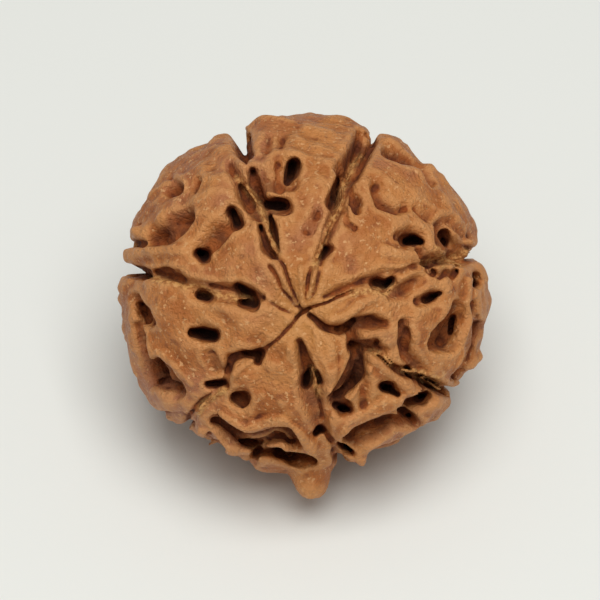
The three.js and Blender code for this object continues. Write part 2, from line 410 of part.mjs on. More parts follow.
// Each seam's half plane: its outward direction from the axis and its normal
const seams = SEAMS.map(([angle, depth, halfWidth]) => {
  const outward = new THREE.Vector3(Math.cos(radians(angle)), Math.sin(radians(angle)), 0);
  outward.addScaledVector(axis, -outward.dot(axis)).normalize();
  return { outward, normal: new THREE.Vector3().crossVectors(axis, outward), depth, halfWidth };
});

// How far the seams past the face and the sag of the shoulders lower a point of the skin
function seamDepth(point) {
  const along = point.dot(axis);
  const fromAxis = point.clone().addScaledVector(axis, -along).length();
  const reach = along > 0 ? SEAM_REACH : SEAM_END;
  const opening = smoothstep(fromAxis, reach.from, reach.to);
  let deepest = 0;
  for (const seam of seams) {
    if (point.dot(seam.outward) < 0) continue;
    const distance = Math.abs(point.dot(seam.normal));
    const wall = 1 - smoothstep(distance - seam.halfWidth * opening, SEAM_WALL.from, SEAM_WALL.to);
    const sag = SHOULDER_SAG * Math.exp(-((distance / SHOULDER_WIDTH) ** 2));
    deepest = Math.max(deepest, opening * (seam.depth * wall + sag));
  }
  return deepest;
}

// The larger of two depths, rounded where they are close
function roundedMax(first, second) {
  const overlap = Math.max(0, BLEND - Math.abs(first - second)) / BLEND;
  return Math.max(first, second) + (overlap ** 2 * BLEND) / 4;
}

function scarHeight(direction) {
  const away = SKIN_RADIUS * direction.distanceTo(axis.clone().negate());
  const collar = Math.exp(-(((away - SCAR.collarRadius) / SCAR.collarWidth) ** 2));
  const pit = 1 - smoothstep(away, SCAR.pitRadius * 0.6, SCAR.pitRadius * 1.4);
  return SCAR.collarHeight * collar - SCAR.pitDepth * pit;
}

// The radius of the skin in a direction, in the face's frame
function skinRadius(direction) {
  const fromRest = SKIN_RADIUS * direction.distanceTo(rest);
  const relief = smoothstep(fromRest, REST_BARE_RADIUS, REST_FADE_RADIUS);
  const towardPole = direction.dot(axis) ** 2;
  const egg = 1 / Math.sqrt(towardPole / POLE_RADIUS ** 2 + (1 - towardPole) / EQUATOR_RADIUS ** 2);
  const shifted = egg + BODY_SHIFT * direction.y - BODY_FLATNESS * direction.y ** 2;
  const ball = lerp(REST_PAD_RADIUS, shifted, relief);
  const point = direction.clone().multiplyScalar(ball);

  let depth = seamDepth(point);
  for (const hollow of hollows) {
    depth = roundedMax(depth, hollow.size * shareOf(hollow, point, WALL));
  }
  let height = scarHeight(direction);
  for (const lump of LUMPS) height += lump.height * wave(point, lump.pitch, lump.shift);
  for (const bump of raised) height += bump.size * shareOf(bump, point, bump.rim);
  for (const dip of dips) height -= dip.size * shareOf(dip, point, dip.rim);
  return ball + relief * (height - depth);
}

// The vertices that share a triangle with each vertex
function neighboursOf(geometry, count) {
  const neighbours = Array.from({ length: count }, () => new Set());
  const corners = geometry.index.array;
  for (let i = 0; i < corners.length; i += 3) {
    for (let side = 0; side < 3; side += 1) {
      const next = (side + 1) % 3;
      neighbours[corners[i + side]].add(corners[i + next]);
      neighbours[corners[i + next]].add(corners[i + side]);
    }
  }
  return neighbours;
}

// Moves each vertex of the ball a little toward those of its neighbours that are on steep walls
function gather(directions, neighbours) {
  const radii = directions.map(skinRadius);
  const weights = directions.map((direction, i) => {
    let steepest = 0;
    for (const j of neighbours[i]) {
      const run = SKIN_RADIUS * direction.distanceTo(directions[j]);
      steepest = Math.max(steepest, Math.abs(radii[i] - radii[j]) / run);
    }
    return 1 + GATHER.pull * Math.min(steepest, GATHER.steepest);
  });
  return directions.map((direction, i) => {
    const moved = direction.clone().multiplyScalar(weights[i]);
    for (const j of neighbours[i]) moved.addScaledVector(directions[j], weights[j]);
    return moved.normalize();
  });
}

function seedGeometry() {
  const ball = new THREE.IcosahedronGeometry(1, MESH_DETAIL);
  ball.deleteAttribute("normal");
  ball.deleteAttribute("uv");
  const geometry = mergeVertices(ball, MERGE_DISTANCE);
  const position = geometry.getAttribute("position");
  const neighbours = neighboursOf(geometry, position.count);
  let directions = neighbours.map((_, i) =>
    new THREE.Vector3().fromBufferAttribute(position, i).normalize());
  for (let round = 0; round < GATHER.rounds; round += 1) {
    directions = gather(directions, neighbours);
  }
  directions.forEach((direction, i) => {
    const skin = direction.clone().multiplyScalar(skinRadius(direction));
    position.setXYZ(i, skin.x, skin.y, skin.z);
  });
  return geometry;
}

// Stands the seed on its flat spot, with the face's normal at its tilt above the horizon
function setDown(geometry) {
  geometry.rotateX(radians(90 - FACE_TILT));
  geometry.translate(0, 0, REST_HEIGHT);
  return geometry;
}

const wasm = await Module();
wasm.setup();

function toSolid(geometry) {
  return new wasm.Manifold(new wasm.Mesh({
    numProp: 3,
    vertProperties: new Float32Array(geometry.getAttribute("position").array),
    triVerts: new Uint32Array(geometry.index.array),
  }));
}

function toGeometry(solid) {
  const mesh = solid.getMesh();
  const geometry = new THREE.BufferGeometry();
  geometry.setAttribute("position", new THREE.BufferAttribute(mesh.vertProperties, 3));
  geometry.setIndex(new THREE.BufferAttribute(mesh.triVerts, 1));
  geometry.computeVertexNormals();
  return geometry;
}

// Everything below the surface that the seed lies on
function groundGeometry() {
  const size = 4 * EQUATOR_RADIUS;
  const box = new THREE.BoxGeometry(size, size, size);
  box.translate(0, 0, -size / 2);
  box.deleteAttribute("normal");
  box.deleteAttribute("uv");
  return mergeVertices(box, MERGE_DISTANCE);
}

function makeSeed() {
  const whole = toSolid(setDown(seedGeometry()));
  const material = new THREE.MeshStandardMaterial({ color: 0xb0784b, roughness: 0.6, metalness: 0 });
  const seed = new THREE.Mesh(toGeometry(whole.subtract(toSolid(groundGeometry()))), material);
  seed.name = "rudraksha_seed";
  return seed;
}

const group = new THREE.Group();
group.add(makeSeed());
export default group;
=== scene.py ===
"""A dried rudraksha seed with seven lobes, lying on a pale surface under soft light.

The seed is one piece. Its solid is worked out as a field on a grid of small cells: a ball, slightly
flat from pole to pole, less the seams and the hollows in its skin. The surface of that field is the mesh.
"""

import itertools
import math

import bpy
import numpy as np
import openvdb
from mathutils import Matrix, Vector


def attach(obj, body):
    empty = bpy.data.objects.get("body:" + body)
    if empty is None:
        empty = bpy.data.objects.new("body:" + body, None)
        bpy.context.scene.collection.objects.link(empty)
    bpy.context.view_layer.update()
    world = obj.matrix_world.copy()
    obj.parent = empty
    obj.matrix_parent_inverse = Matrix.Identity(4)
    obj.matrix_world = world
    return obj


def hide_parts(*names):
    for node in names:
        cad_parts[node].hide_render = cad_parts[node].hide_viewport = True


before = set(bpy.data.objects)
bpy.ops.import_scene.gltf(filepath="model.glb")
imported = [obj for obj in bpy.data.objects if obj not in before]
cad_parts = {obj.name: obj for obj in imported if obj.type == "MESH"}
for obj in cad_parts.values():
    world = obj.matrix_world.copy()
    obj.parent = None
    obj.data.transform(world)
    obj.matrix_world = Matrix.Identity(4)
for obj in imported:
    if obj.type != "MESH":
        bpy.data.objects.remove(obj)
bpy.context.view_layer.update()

MM = 0.001  # one millimetre in the scene's metres

# Driving sizes, in millimetres and degrees, the same as the solid's
EQUATOR_RADIUS = 11.6
POLE_RADIUS = 10.1
BODY_SHIFT = 0.6  # how far the body is moved up the face
BODY_FLATNESS = 0.35  # how much is taken off its upper and lower ends
SKIN_RADIUS = 11.2  # the usual radius, which turns angles into lengths on the skin
FACE_TILT = 50.0  # how steeply the face looks up from the floor
REST_HEIGHT = 10.4  # the seed's middle above the floor
REST_PAD_RADIUS = 10.6  # the plain ball round the spot that it lies on, which the floor cuts flat
REST_BARE_RADIUS = 3.0  # this near the spot there is no relief
REST_FADE_RADIUS = 5.0  # from here on the relief is full

# Places on the face are (across, up, half width), in millimetres from its middle, as the camera sees them.
APEX = (-0.12, -0.56)

# The seams past the face: angle round the face in degrees, depth, and half width
SEAMS = [
    (111, 1.7, 0.55),
    (67, 0.8, 0.14),
    (16, 1.0, 0.35),
    (-30, 1.0, 0.3),
    (-76.5, 1.3, 0.35),
    (-134, 1.1, 0.32),
    (168.7, 1.5, 0.4),
]
SEAM_REACH = (9.4, 11.0)  # how far from the axis through the apex they begin on the face, and are full
SEAM_CLOSING = (1.5, 4.0)  # how far from it they end round the scar, and are still full
SEAM_TAPER = 0.25  # how much narrower each side gets with each millimetre of depth
SEAM_TAPER_DEPTH = 2.0  # below this they get no narrower
SEAM_ROUND = 0.3  # the rounding of their rims
SHOULDER_SAG = 0.4  # how far the skin sags at a seam
SHOULDER_WIDTH = 1.1  # how far to each side the sag goes

# Hollows in the skin of the face: depth, rounding of the rim, and the places that each runs through
HOLLOWS = {
    "top lobe": [
        (2.3, 0.2, (-0.65, 8.5, 0.36), (-0.8, 8.0, 0.36), (-1.05, 7.55, 0.22)),
        (0.35, 0.2, (-1.5, 8.5, 0.1), (-1.5, 7.7, 0.12)),
        (2.5, 0.2, (-2.15, 6.15, 0.33), (-1.6, 6.1, 0.42), (-1.2, 6.05, 0.38)),
        (1.3, 0.25, (-3.15, 8.15, 0.14), (-3.1, 7.4, 0.26), (-2.75, 6.5, 0.3)),
        (2.1, 0.2, (2.15, 7.8, 0.1), (1.95, 7.1, 0.2), (1.75, 6.3, 0.33), (1.68, 6.05, 0.3)),
        (1.7, 0.15, (-1.6, 3.3, 0.08), (-1.75, 3.9, 0.17), (-1.9, 4.6, 0.16), (-2.0, 5.3, 0.08)),
    ],
    "upper right lobe": [
        (1.9, 0.2, (1.42, 3.35, 0.26), (1.15, 2.9, 0.18)),
        (0.35, 0.15, (2.5, 5.6, 0.07), (2.65, 5.0, 0.08), (3.1, 4.65, 0.08)),
        (2.4, 0.2, (6.25, 3.85, 0.33), (6.7, 3.95, 0.36), (7.1, 3.85, 0.2)),
        (1.9, 0.2, (8.72, 4.35, 0.33), (8.9, 3.95, 0.28)),
        (0.6, 0.2, (9.4, 3.65, 0.12), (10.2, 3.45, 0.14), (10.9, 3.35, 0.1)),
    ],
    "right lobe": [
        (2.4, 0.2, (4.45, 1.3, 0.33), (5.0, 1.15, 0.38), (5.4, 1.5, 0.22)),
        (2.0, 0.2, (7.6, 0.3, 0.22), (7.9, 0.5, 0.24), (8.3, 0.62, 0.1)),
        (0.9, 0.2, (7.5, 2.1, 0.12), (8.0, 1.9, 0.22)),
        (0.5, 0.2, (8.4, 1.6, 0.06), (8.85, 1.95, 0.16)),
        (0.5, 0.2, (9.2, 1.65, 0.06), (9.45, 2.05, 0.12)),
        (0.6, 0.2, (9.75, -0.15, 0.2), (9.5, -0.8, 0.25)),
        (1.7, 0.3, (9.4, -0.8, 0.25), (9.1, -1.7, 0.45), (8.6, -2.35, 0.35)),
        (1.2, 0.2, (10.85, 1.85, 0.2), (10.9, 1.3, 0.26)),
        (0.9, 0.22, (6.25, -1.6, 0.13), (6.2, -2.2, 0.25), (6.3, -2.8, 0.15)),
        (1.7, 0.2, (6.3, -4.1, 0.25)),
        (1.7, 0.2, (3.0, -2.5, 0.22), (3.35, -2.7, 0.24), (3.7, -2.95, 0.12)),
        (0.9, 0.2, (4.5, -2.3, 0.12)),
        (0.4, 0.2, (10.55, 0.1, 0.1), (10.75, -0.6, 0.14), (10.85, -1.2, 0.14), (10.55, -1.9, 0.14),
         (10.35, -2.6, 0.16), (10.25, -3.4, 0.14), (9.9, -4.1, 0.14), (9.4, -4.6, 0.1)),
    ],
    "lower right lobe": [
        (1.9, 0.25, (3.4, -3.2, 0.3), (3.3, -4.1, 0.45), (2.8, -4.9, 0.4), (2.15, -5.5, 0.22)),
        (2.3, 0.2, (4.95, -5.0, 0.3), (5.3, -5.1, 0.3), (5.8, -5.5, 0.1)),
        (0.9, 0.25, (5.3, -7.0, 0.15), (4.2, -7.55, 0.25), (3.3, -7.95, 0.22)),
        (2.1, 0.2, (2.05, -6.15, 0.25), (2.5, -6.4, 0.36), (2.8, -6.5, 0.2)),
        (1.4, 0.2, (6.0, -6.5, 0.12), (6.4, -6.75, 0.25), (6.75, -6.95, 0.15)),
        (1.8, 0.2, (6.6, -6.1, 0.3), (7.3, -5.95, 0.35), (7.8, -5.75, 0.2)),
        (1.9, 0.2, (7.35, -4.85, 0.22), (7.9, -5.0, 0.35), (8.4, -5.2, 0.2)),
        (0.9, 0.12, (8.9, -5.25, 0.1), (9.15, -5.7, 0.1)),
        (1.0, 0.2, (4.3, -9.45, 0.16), (5.1, -9.15, 0.18)),
    ],
    "bottom lobe": [
        (2.3, 0.2, (0.35, -3.95, 0.18), (0.22, -4.4, 0.34), (0.15, -4.8, 0.3)),
        (1.7, 0.15, (0.72, -4.2, 0.14), (0.95, -4.8, 0.16)),
        (0.5, 0.2, (1.55, -6.3, 0.15), (1.35, -6.8, 0.12)),
        (1.8, 0.18, (0.75, -7.9, 0.16), (1.0, -7.62, 0.26), (1.3, -7.72, 0.12)),
        (1.5, 0.2, (2.3, -8.8, 0.12), (2.6, -9.0, 0.22), (3.0, -9.25, 0.1)),
        (0.7, 0.2, (2.0, -9.2, 0.12), (2.1, -9.9, 0.14)),
        (1.2, 0.22, (-5.6, -7.15, 0.18), (-5.0, -7.45, 0.25), (-4.4, -7.95, 0.3), (-3.8, -8.45, 0.33),
         (-3.2, -8.6, 0.33), (-2.5, -8.35, 0.32), (-1.9, -8.1, 0.32), (-1.25, -8.0, 0.35),
         (-0.75, -8.45, 0.22)),
        (2.4, 0.2, (-1.6, -9.4, 0.25), (-0.8, -9.65, 0.3), (-0.1, -9.72, 0.36), (0.5, -9.75, 0.25)),
        (1.1, 0.25, (-3.1, -9.4, 0.1), (-2.3, -9.25, 0.25), (-1.6, -9.3, 0.3)),
        (1.6, 0.2, (-4.2, -5.75, 0.33), (-3.7, -5.85, 0.42)),
        (0.6, 0.15, (-7.2, -8.25, 0.1), (-6.6, -8.55, 0.12), (-6.1, -8.6, 0.1)),
        (0.55, 0.15, (-5.95, -8.15, 0.08), (-5.55, -8.7, 0.12), (-5.1, -9.1, 0.1)),
    ],
    "left lobe": [
        (2.6, 0.2, (-6.85, -1.7, 0.27), (-6.2, -1.75, 0.41), (-5.55, -1.85, 0.39)),
        (2.2, 0.2, (-6.3, 0.55, 0.28), (-5.9, 0.5, 0.31)),
        (2.3, 0.2, (-3.6, 0.1, 0.3), (-3.1, 0.05, 0.37)),
        (1.2, 0.2, (-10.3, -0.1, 0.18), (-10.0, -0.5, 0.33), (-9.7, -0.95, 0.28)),
        (0.4, 0.22, (-10.35, -1.3, 0.12), (-10.15, -2.0, 0.2), (-9.95, -2.9, 0.15)),
        (2.3, 0.2, (-3.5, -3.0, 0.14), (-2.9, -2.95, 0.27), (-2.62, -2.95, 0.28), (-2.75, -3.5, 0.18)),
        (0.6, 0.2, (-3.8, -3.15, 0.15), (-4.4, -3.45, 0.15), (-4.75, -4.2, 0.12), (-4.8, -4.8, 0.12)),
        (1.8, 0.18, (-5.9, -4.9, 0.13), (-5.5, -4.85, 0.2), (-4.95, -4.82, 0.19), (-4.75, -5.0, 0.1)),
        (1.0, 0.15, (-9.0, -4.9, 0.2), (-8.5, -4.9, 0.36), (-7.8, -5.1, 0.22)),
        (0.9, 0.2, (-9.0, -3.5, 0.08), (-8.5, -4.1, 0.14)),
    ],
    "upper left lobe": [
        (2.3, 0.2, (-4.35, 5.55, 0.3), (-4.1, 5.0, 0.32)),
        (2.4, 0.2, (-6.45, 3.15, 0.3), (-6.15, 3.0, 0.42)),
        (0.7, 0.2, (-10.0, 3.85, 0.14), (-11.0, 3.75, 0.16)),
        (0.6, 0.2, (-9.0, 2.05, 0.1), (-8.5, 2.0, 0.2), (-7.9, 1.8, 0.26), (-7.4, 1.5, 0.1)),
        (2.3, 0.2, (-3.95, 1.05, 0.24), (-3.6, 0.8, 0.32), (-3.1, 0.6, 0.2)),
        (1.0, 0.25, (-3.9, 7.35, 0.12), (-3.6, 6.6, 0.32), (-3.2, 5.9, 0.25)),
        (1.5, 0.15, (-1.9, 2.9, 0.12), (-2.25, 3.3, 0.17), (-2.5, 4.0, 0.12), (-2.75, 4.8, 0.08)),
    ],
}

# The seams on the face, from the apex outward, in the same form
FACE_SEAMS = [
    (1.0, 0.2, (-9.7, 2.05, 0.1), (-10.1, 2.1, 0.2), (-10.8, 2.1, 0.35)),
    (0.3, 0.12, (-0.15, -0.3, 0.1), (-0.55, 0.4, 0.1), (-0.85, 1.4, 0.1), (-1.2, 2.2, 0.11),
     (-1.8, 3.0, 0.12)),
    (1.0, 0.2, (-3.3, 9.2, 0.1), (-3.6, 9.8, 0.3), (-3.75, 10.4, 0.45)),
    (0.9, 0.1, (-0.4, -0.8, 0.09), (0.0, -0.45, 0.15), (0.4, -0.18, 0.1)),
    (0.35, 0.1, (-0.35, -0.8, 0.1), (-0.85, -1.35, 0.1), (-1.45, -1.93, 0.1), (-2.05, -2.5, 0.11),
     (-2.4, -2.8, 0.12)),
    (0.2, 0.1, (-0.4, -0.65, 0.09), (-1.3, -0.32, 0.1), (-1.9, -0.05, 0.12), (-2.5, 0.2, 0.18),
     (-2.9, 0.25, 0.2)),
    (0.2, 0.12, (-0.45, -0.1, 0.08), (-1.2, 0.8, 0.09), (-2.1, 2.3, 0.12)),
    (0.18, 0.12, (0.1, 0.3, 0.08), (0.25, 1.2, 0.1), (0.5, 2.2, 0.12)),
    (0.18, 0.12, (0.45, 0.3, 0.08), (0.85, 1.4, 0.1), (1.15, 2.4, 0.12)),
    (0.4, 0.2, (0.9, 2.9, 0.1), (1.5, 4.8, 0.16), (2.1, 5.8, 0.2), (2.35, 6.9, 0.25), (2.8, 8.0, 0.25),
     (3.4, 9.3, 0.25), (3.9, 10.3, 0.3)),
    (0.9, 0.15, (3.15, 7.8, 0.12), (3.5, 8.4, 0.1), (3.9, 9.2, 0.12), (4.3, 10.0, 0.12),
     (4.5, 10.8, 0.14)),
    (0.45, 0.1, (0.35, -0.2, 0.1), (1.3, 0.1, 0.1), (2.05, 0.48, 0.1), (3.0, 0.85, 0.09)),
    (0.4, 0.15, (5.2, 1.85, 0.12), (6.2, 2.15, 0.12), (7.4, 2.4, 0.15), (8.6, 2.65, 0.15),
     (10.2, 3.0, 0.2)),
    (0.8, 0.15, (0.4, -0.65, 0.07), (0.9, -1.05, 0.08), (1.5, -1.45, 0.12), (2.1, -1.55, 0.2),
     (2.6, -1.4, 0.15), (3.1, -0.95, 0.08)),
    (1.0, 0.15, (4.0, -2.85, 0.08), (4.8, -3.35, 0.1), (5.6, -3.95, 0.15), (6.4, -4.3, 0.2),
     (7.2, -4.55, 0.15), (7.9, -4.95, 0.2), (8.5, -5.25, 0.2), (9.1, -5.5, 0.2)),
    (0.6, 0.15, (0.8, -4.7, 0.1), (1.1, -5.7, 0.1), (1.2, -6.6, 0.08), (1.35, -7.3, 0.08),
     (1.6, -8.1, 0.08), (2.0, -8.6, 0.12), (2.2, -9.4, 0.2), (2.5, -9.9, 0.3)),
    (0.6, 0.15, (-0.15, -2.3, 0.07), (0.0, -3.0, 0.15), (0.3, -3.7, 0.25)),
    (0.5, 0.2, (-4.9, -5.1, 0.1), (-5.5, -5.35, 0.12), (-6.2, -5.9, 0.16), (-6.8, -6.8, 0.18),
     (-7.1, -7.4, 0.25)),
    (0.3, 0.15, (-4.0, 1.05, 0.12), (-4.6, 1.15, 0.12), (-5.6, 1.25, 0.1)),
]

# Broad dips and terraces round the hollows: depth, half the width of the slope at the edge, and places
DIPS = [
    (0.35, 0.4, (-1.5, 8.6, 0.45), (-1.4, 7.7, 0.5), (-0.8, 7.6, 0.5)),
    (0.5, 0.35, (-2.9, 8.1, 0.35), (-2.4, 7.7, 0.45), (-1.5, 7.35, 0.3)),
    (0.5, 0.35, (-2.3, 6.2, 0.4), (-1.2, 6.1, 0.45)),
    (0.8, 0.4, (3.5, 10.4, 0.3), (3.1, 9.4, 0.45), (2.4, 8.4, 0.4)),
    (0.6, 0.35, (4.2, 10.2, 0.3), (3.3, 8.6, 0.4), (2.4, 7.0, 0.45), (2.0, 5.6, 0.35), (1.4, 4.0, 0.25),
     (0.9, 2.6, 0.15)),
    (0.35, 0.4, (0.3, 4.6, 0.4), (0.9, 5.7, 0.3)),
    (0.3, 0.5, (-2.2, 10.5, 0.1), (-2.4, 9.7, 0.3)),
    (0.25, 0.45, (-1.3, 10.4, 0.1), (-1.45, 9.9, 0.2)),
    (0.2, 0.5, (-0.4, 11.2, 0.1), (-0.1, 10.8, 0.2), (0.8, 10.5, 0.2)),
    (0.4, 0.15, (3.5, 10.6, 0.25), (3.45, 9.9, 0.25), (3.1, 9.2, 0.3), (2.7, 8.5, 0.25)),
    (0.7, 0.2, (5.2, 9.55, 0.3), (5.9, 9.35, 0.42), (6.6, 9.1, 0.35)),
    (0.7, 0.2, (6.9, 8.85, 0.22), (7.5, 8.15, 0.28), (8.0, 7.5, 0.18)),
    (0.4, 0.4, (5.6, 9.6, 0.5), (7.2, 8.8, 0.5)),
    (0.8, 0.35, (3.1, 6.9, 0.2), (3.25, 6.4, 0.38), (3.3, 5.9, 0.2)),
    (0.5, 0.2, (3.2, 6.6, 0.15), (3.3, 6.2, 0.18)),
    (0.5, 0.3, (5.9, 4.3, 0.25), (6.6, 4.55, 0.3), (7.3, 4.3, 0.3), (7.45, 3.6, 0.2)),
    (0.5, 0.4, (4.5, 7.3, 0.3), (4.85, 6.3, 0.4), (5.7, 5.9, 0.35), (6.4, 6.0, 0.2)),
    (0.4, 0.4, (7.1, 6.1, 0.25), (7.9, 5.5, 0.35)),
    (0.6, 0.4, (8.7, 5.0, 0.4), (8.9, 4.1, 0.6), (9.9, 3.6, 0.3)),
    (0.35, 0.4, (9.3, 5.2, 0.3), (10.3, 4.4, 0.3)),
    (0.8, 0.3, (7.35, 3.4, 0.25), (7.8, 2.9, 0.35), (9.0, 2.9, 0.3), (10.2, 3.2, 0.3)),
    (0.5, 0.4, (1.3, 0.45, 0.1), (2.5, 1.0, 0.2), (3.9, 1.5, 0.3), (5.0, 1.9, 0.3)),
    (0.5, 0.4, (5.5, 0.6, 0.3), (6.4, 0.9, 0.5), (7.2, 1.5, 0.4)),
    (0.5, 0.35, (7.2, 0.2, 0.3), (8.2, 0.5, 0.35)),
    (0.6, 0.3, (6.2, -1.2, 0.3), (6.3, -2.3, 0.4), (6.6, -3.3, 0.4), (7.5, -4.2, 0.3)),
    (0.9, 0.35, (2.4, -1.6, 0.25), (3.4, -1.2, 0.4), (4.3, -1.1, 0.45), (5.0, -1.2, 0.2)),
    (0.9, 0.35, (3.1, -1.9, 0.35), (3.2, -2.7, 0.45), (4.2, -2.6, 0.4), (4.9, -2.9, 0.25)),
    (1.0, 0.35, (3.5, -3.2, 0.5), (3.3, -4.2, 0.6), (2.6, -5.3, 0.45), (1.9, -5.9, 0.3)),
    (0.9, 0.3, (2.0, -6.2, 0.35), (2.6, -6.5, 0.45)),
    (0.35, 0.3, (3.9, -4.9, 0.25), (3.7, -6.2, 0.35)),
    (0.9, 0.2, (6.3, -6.7, 0.35), (7.2, -6.2, 0.45), (7.9, -5.7, 0.3)),
    (0.8, 0.2, (7.3, -4.85, 0.35), (8.4, -5.2, 0.4)),
    (1.0, 0.15, (7.0, -7.4, 0.3), (5.6, -7.3, 0.5), (4.2, -8.0, 0.6), (3.1, -8.5, 0.6)),
    (0.7, 0.15, (-5.5, -7.1, 0.25), (-4.8, -7.8, 0.4), (-4.2, -8.2, 0.5), (-3.4, -8.5, 0.4),
     (-2.5, -8.3, 0.4), (-1.7, -7.95, 0.35), (-1.0, -8.1, 0.4), (-0.5, -8.8, 0.35)),
    (0.6, 0.3, (4.6, -9.7, 0.6), (6.4, -9.2, 0.7), (8.2, -7.9, 0.5)),
    (0.5, 0.3, (-0.3, -2.3, 0.2), (0.0, -3.2, 0.4), (0.3, -4.5, 0.5)),
    (0.5, 0.4, (0.1, -5.0, 0.4), (0.5, -6.0, 0.5), (0.9, -7.3, 0.35)),
    (0.3, 0.15, (-5.6, -9.1, 0.2), (-4.4, -9.7, 0.3), (-3.2, -9.9, 0.35)),
    (0.3, 0.3, (-3.9, -5.8, 0.6)),
    (0.4, 0.4, (-4.9, -4.2, 0.3), (-4.6, -3.4, 0.3), (-3.7, -3.2, 0.2)),
    (0.4, 0.4, (-5.9, -3.2, 0.4), (-5.4, -4.1, 0.4)),
    (0.3, 0.5, (-6.2, -1.8, 0.6)),
    (0.6, 0.3, (-10.6, 0.4, 0.3), (-10.0, -0.6, 0.5), (-9.6, -1.1, 0.3)),
    (0.6, 0.2, (-10.5, -1.3, 0.2), (-10.2, -2.6, 0.25), (-9.7, -4.2, 0.3), (-9.3, -5.0, 0.25)),
    (0.3, 0.15, (11.0, -1.3, 0.35), (10.8, -2.6, 0.4), (10.4, -3.6, 0.4), (9.9, -4.5, 0.35)),
    (0.3, 0.2, (-9.0, -6.75, 0.12), (-7.6, -6.9, 0.15)),
    (0.6, 0.25, (-9.2, -3.7, 0.3), (-8.7, -4.7, 0.7), (-7.9, -5.5, 0.4)),
    (1.2, 0.25, (9.6, -0.2, 0.4), (9.35, -1.2, 0.65), (8.9, -2.1, 0.85), (8.4, -2.5, 0.5)),
    (0.5, 0.3, (9.2, -1.9, 0.3), (8.8, -2.4, 0.35)),
    (0.4, 0.2, (-10.0, 1.95, 0.2), (-8.3, 1.75, 0.3), (-6.6, 1.2, 0.3), (-5.0, 0.9, 0.3),
     (-3.6, 0.7, 0.3)),
    (0.4, 0.3, (-6.9, 0.6, 0.25), (-5.5, 0.45, 0.3), (-3.6, 0.15, 0.35)),
    (0.9, 0.45, (-9.2, 4.2, 0.5), (-8.6, 4.5, 0.65), (-8.0, 5.0, 0.6), (-7.3, 5.6, 0.35)),
    (0.7, 0.25, (-9.6, 3.95, 0.2), (-8.9, 4.05, 0.3), (-8.5, 4.4, 0.15)),
    (0.5, 0.25, (-7.9, 5.15, 0.2), (-7.2, 5.35, 0.2)),
    (0.7, 0.35, (-8.4, 7.1, 0.25), (-8.0, 7.35, 0.35)),
    (0.6, 0.25, (-6.8, 7.15, 0.12), (-6.6, 7.7, 0.2)),
    (0.7, 0.4, (-4.3, 5.4, 0.4), (-5.4, 4.5, 0.6), (-6.3, 3.6, 0.5)),
    (0.5, 0.3, (-4.6, 8.7, 0.3), (-4.0, 7.6, 0.35), (-3.6, 6.6, 0.45), (-3.1, 5.6, 0.35)),
    (0.5, 0.3, (-3.2, 8.3, 0.2), (-2.9, 7.0, 0.4), (-2.5, 5.6, 0.4), (-2.2, 4.2, 0.35), (-1.8, 3.0, 0.2)),
    (0.6, 0.3, (-4.0, 1.1, 0.2), (-3.5, 0.75, 0.4), (-2.6, 0.45, 0.2)),
]

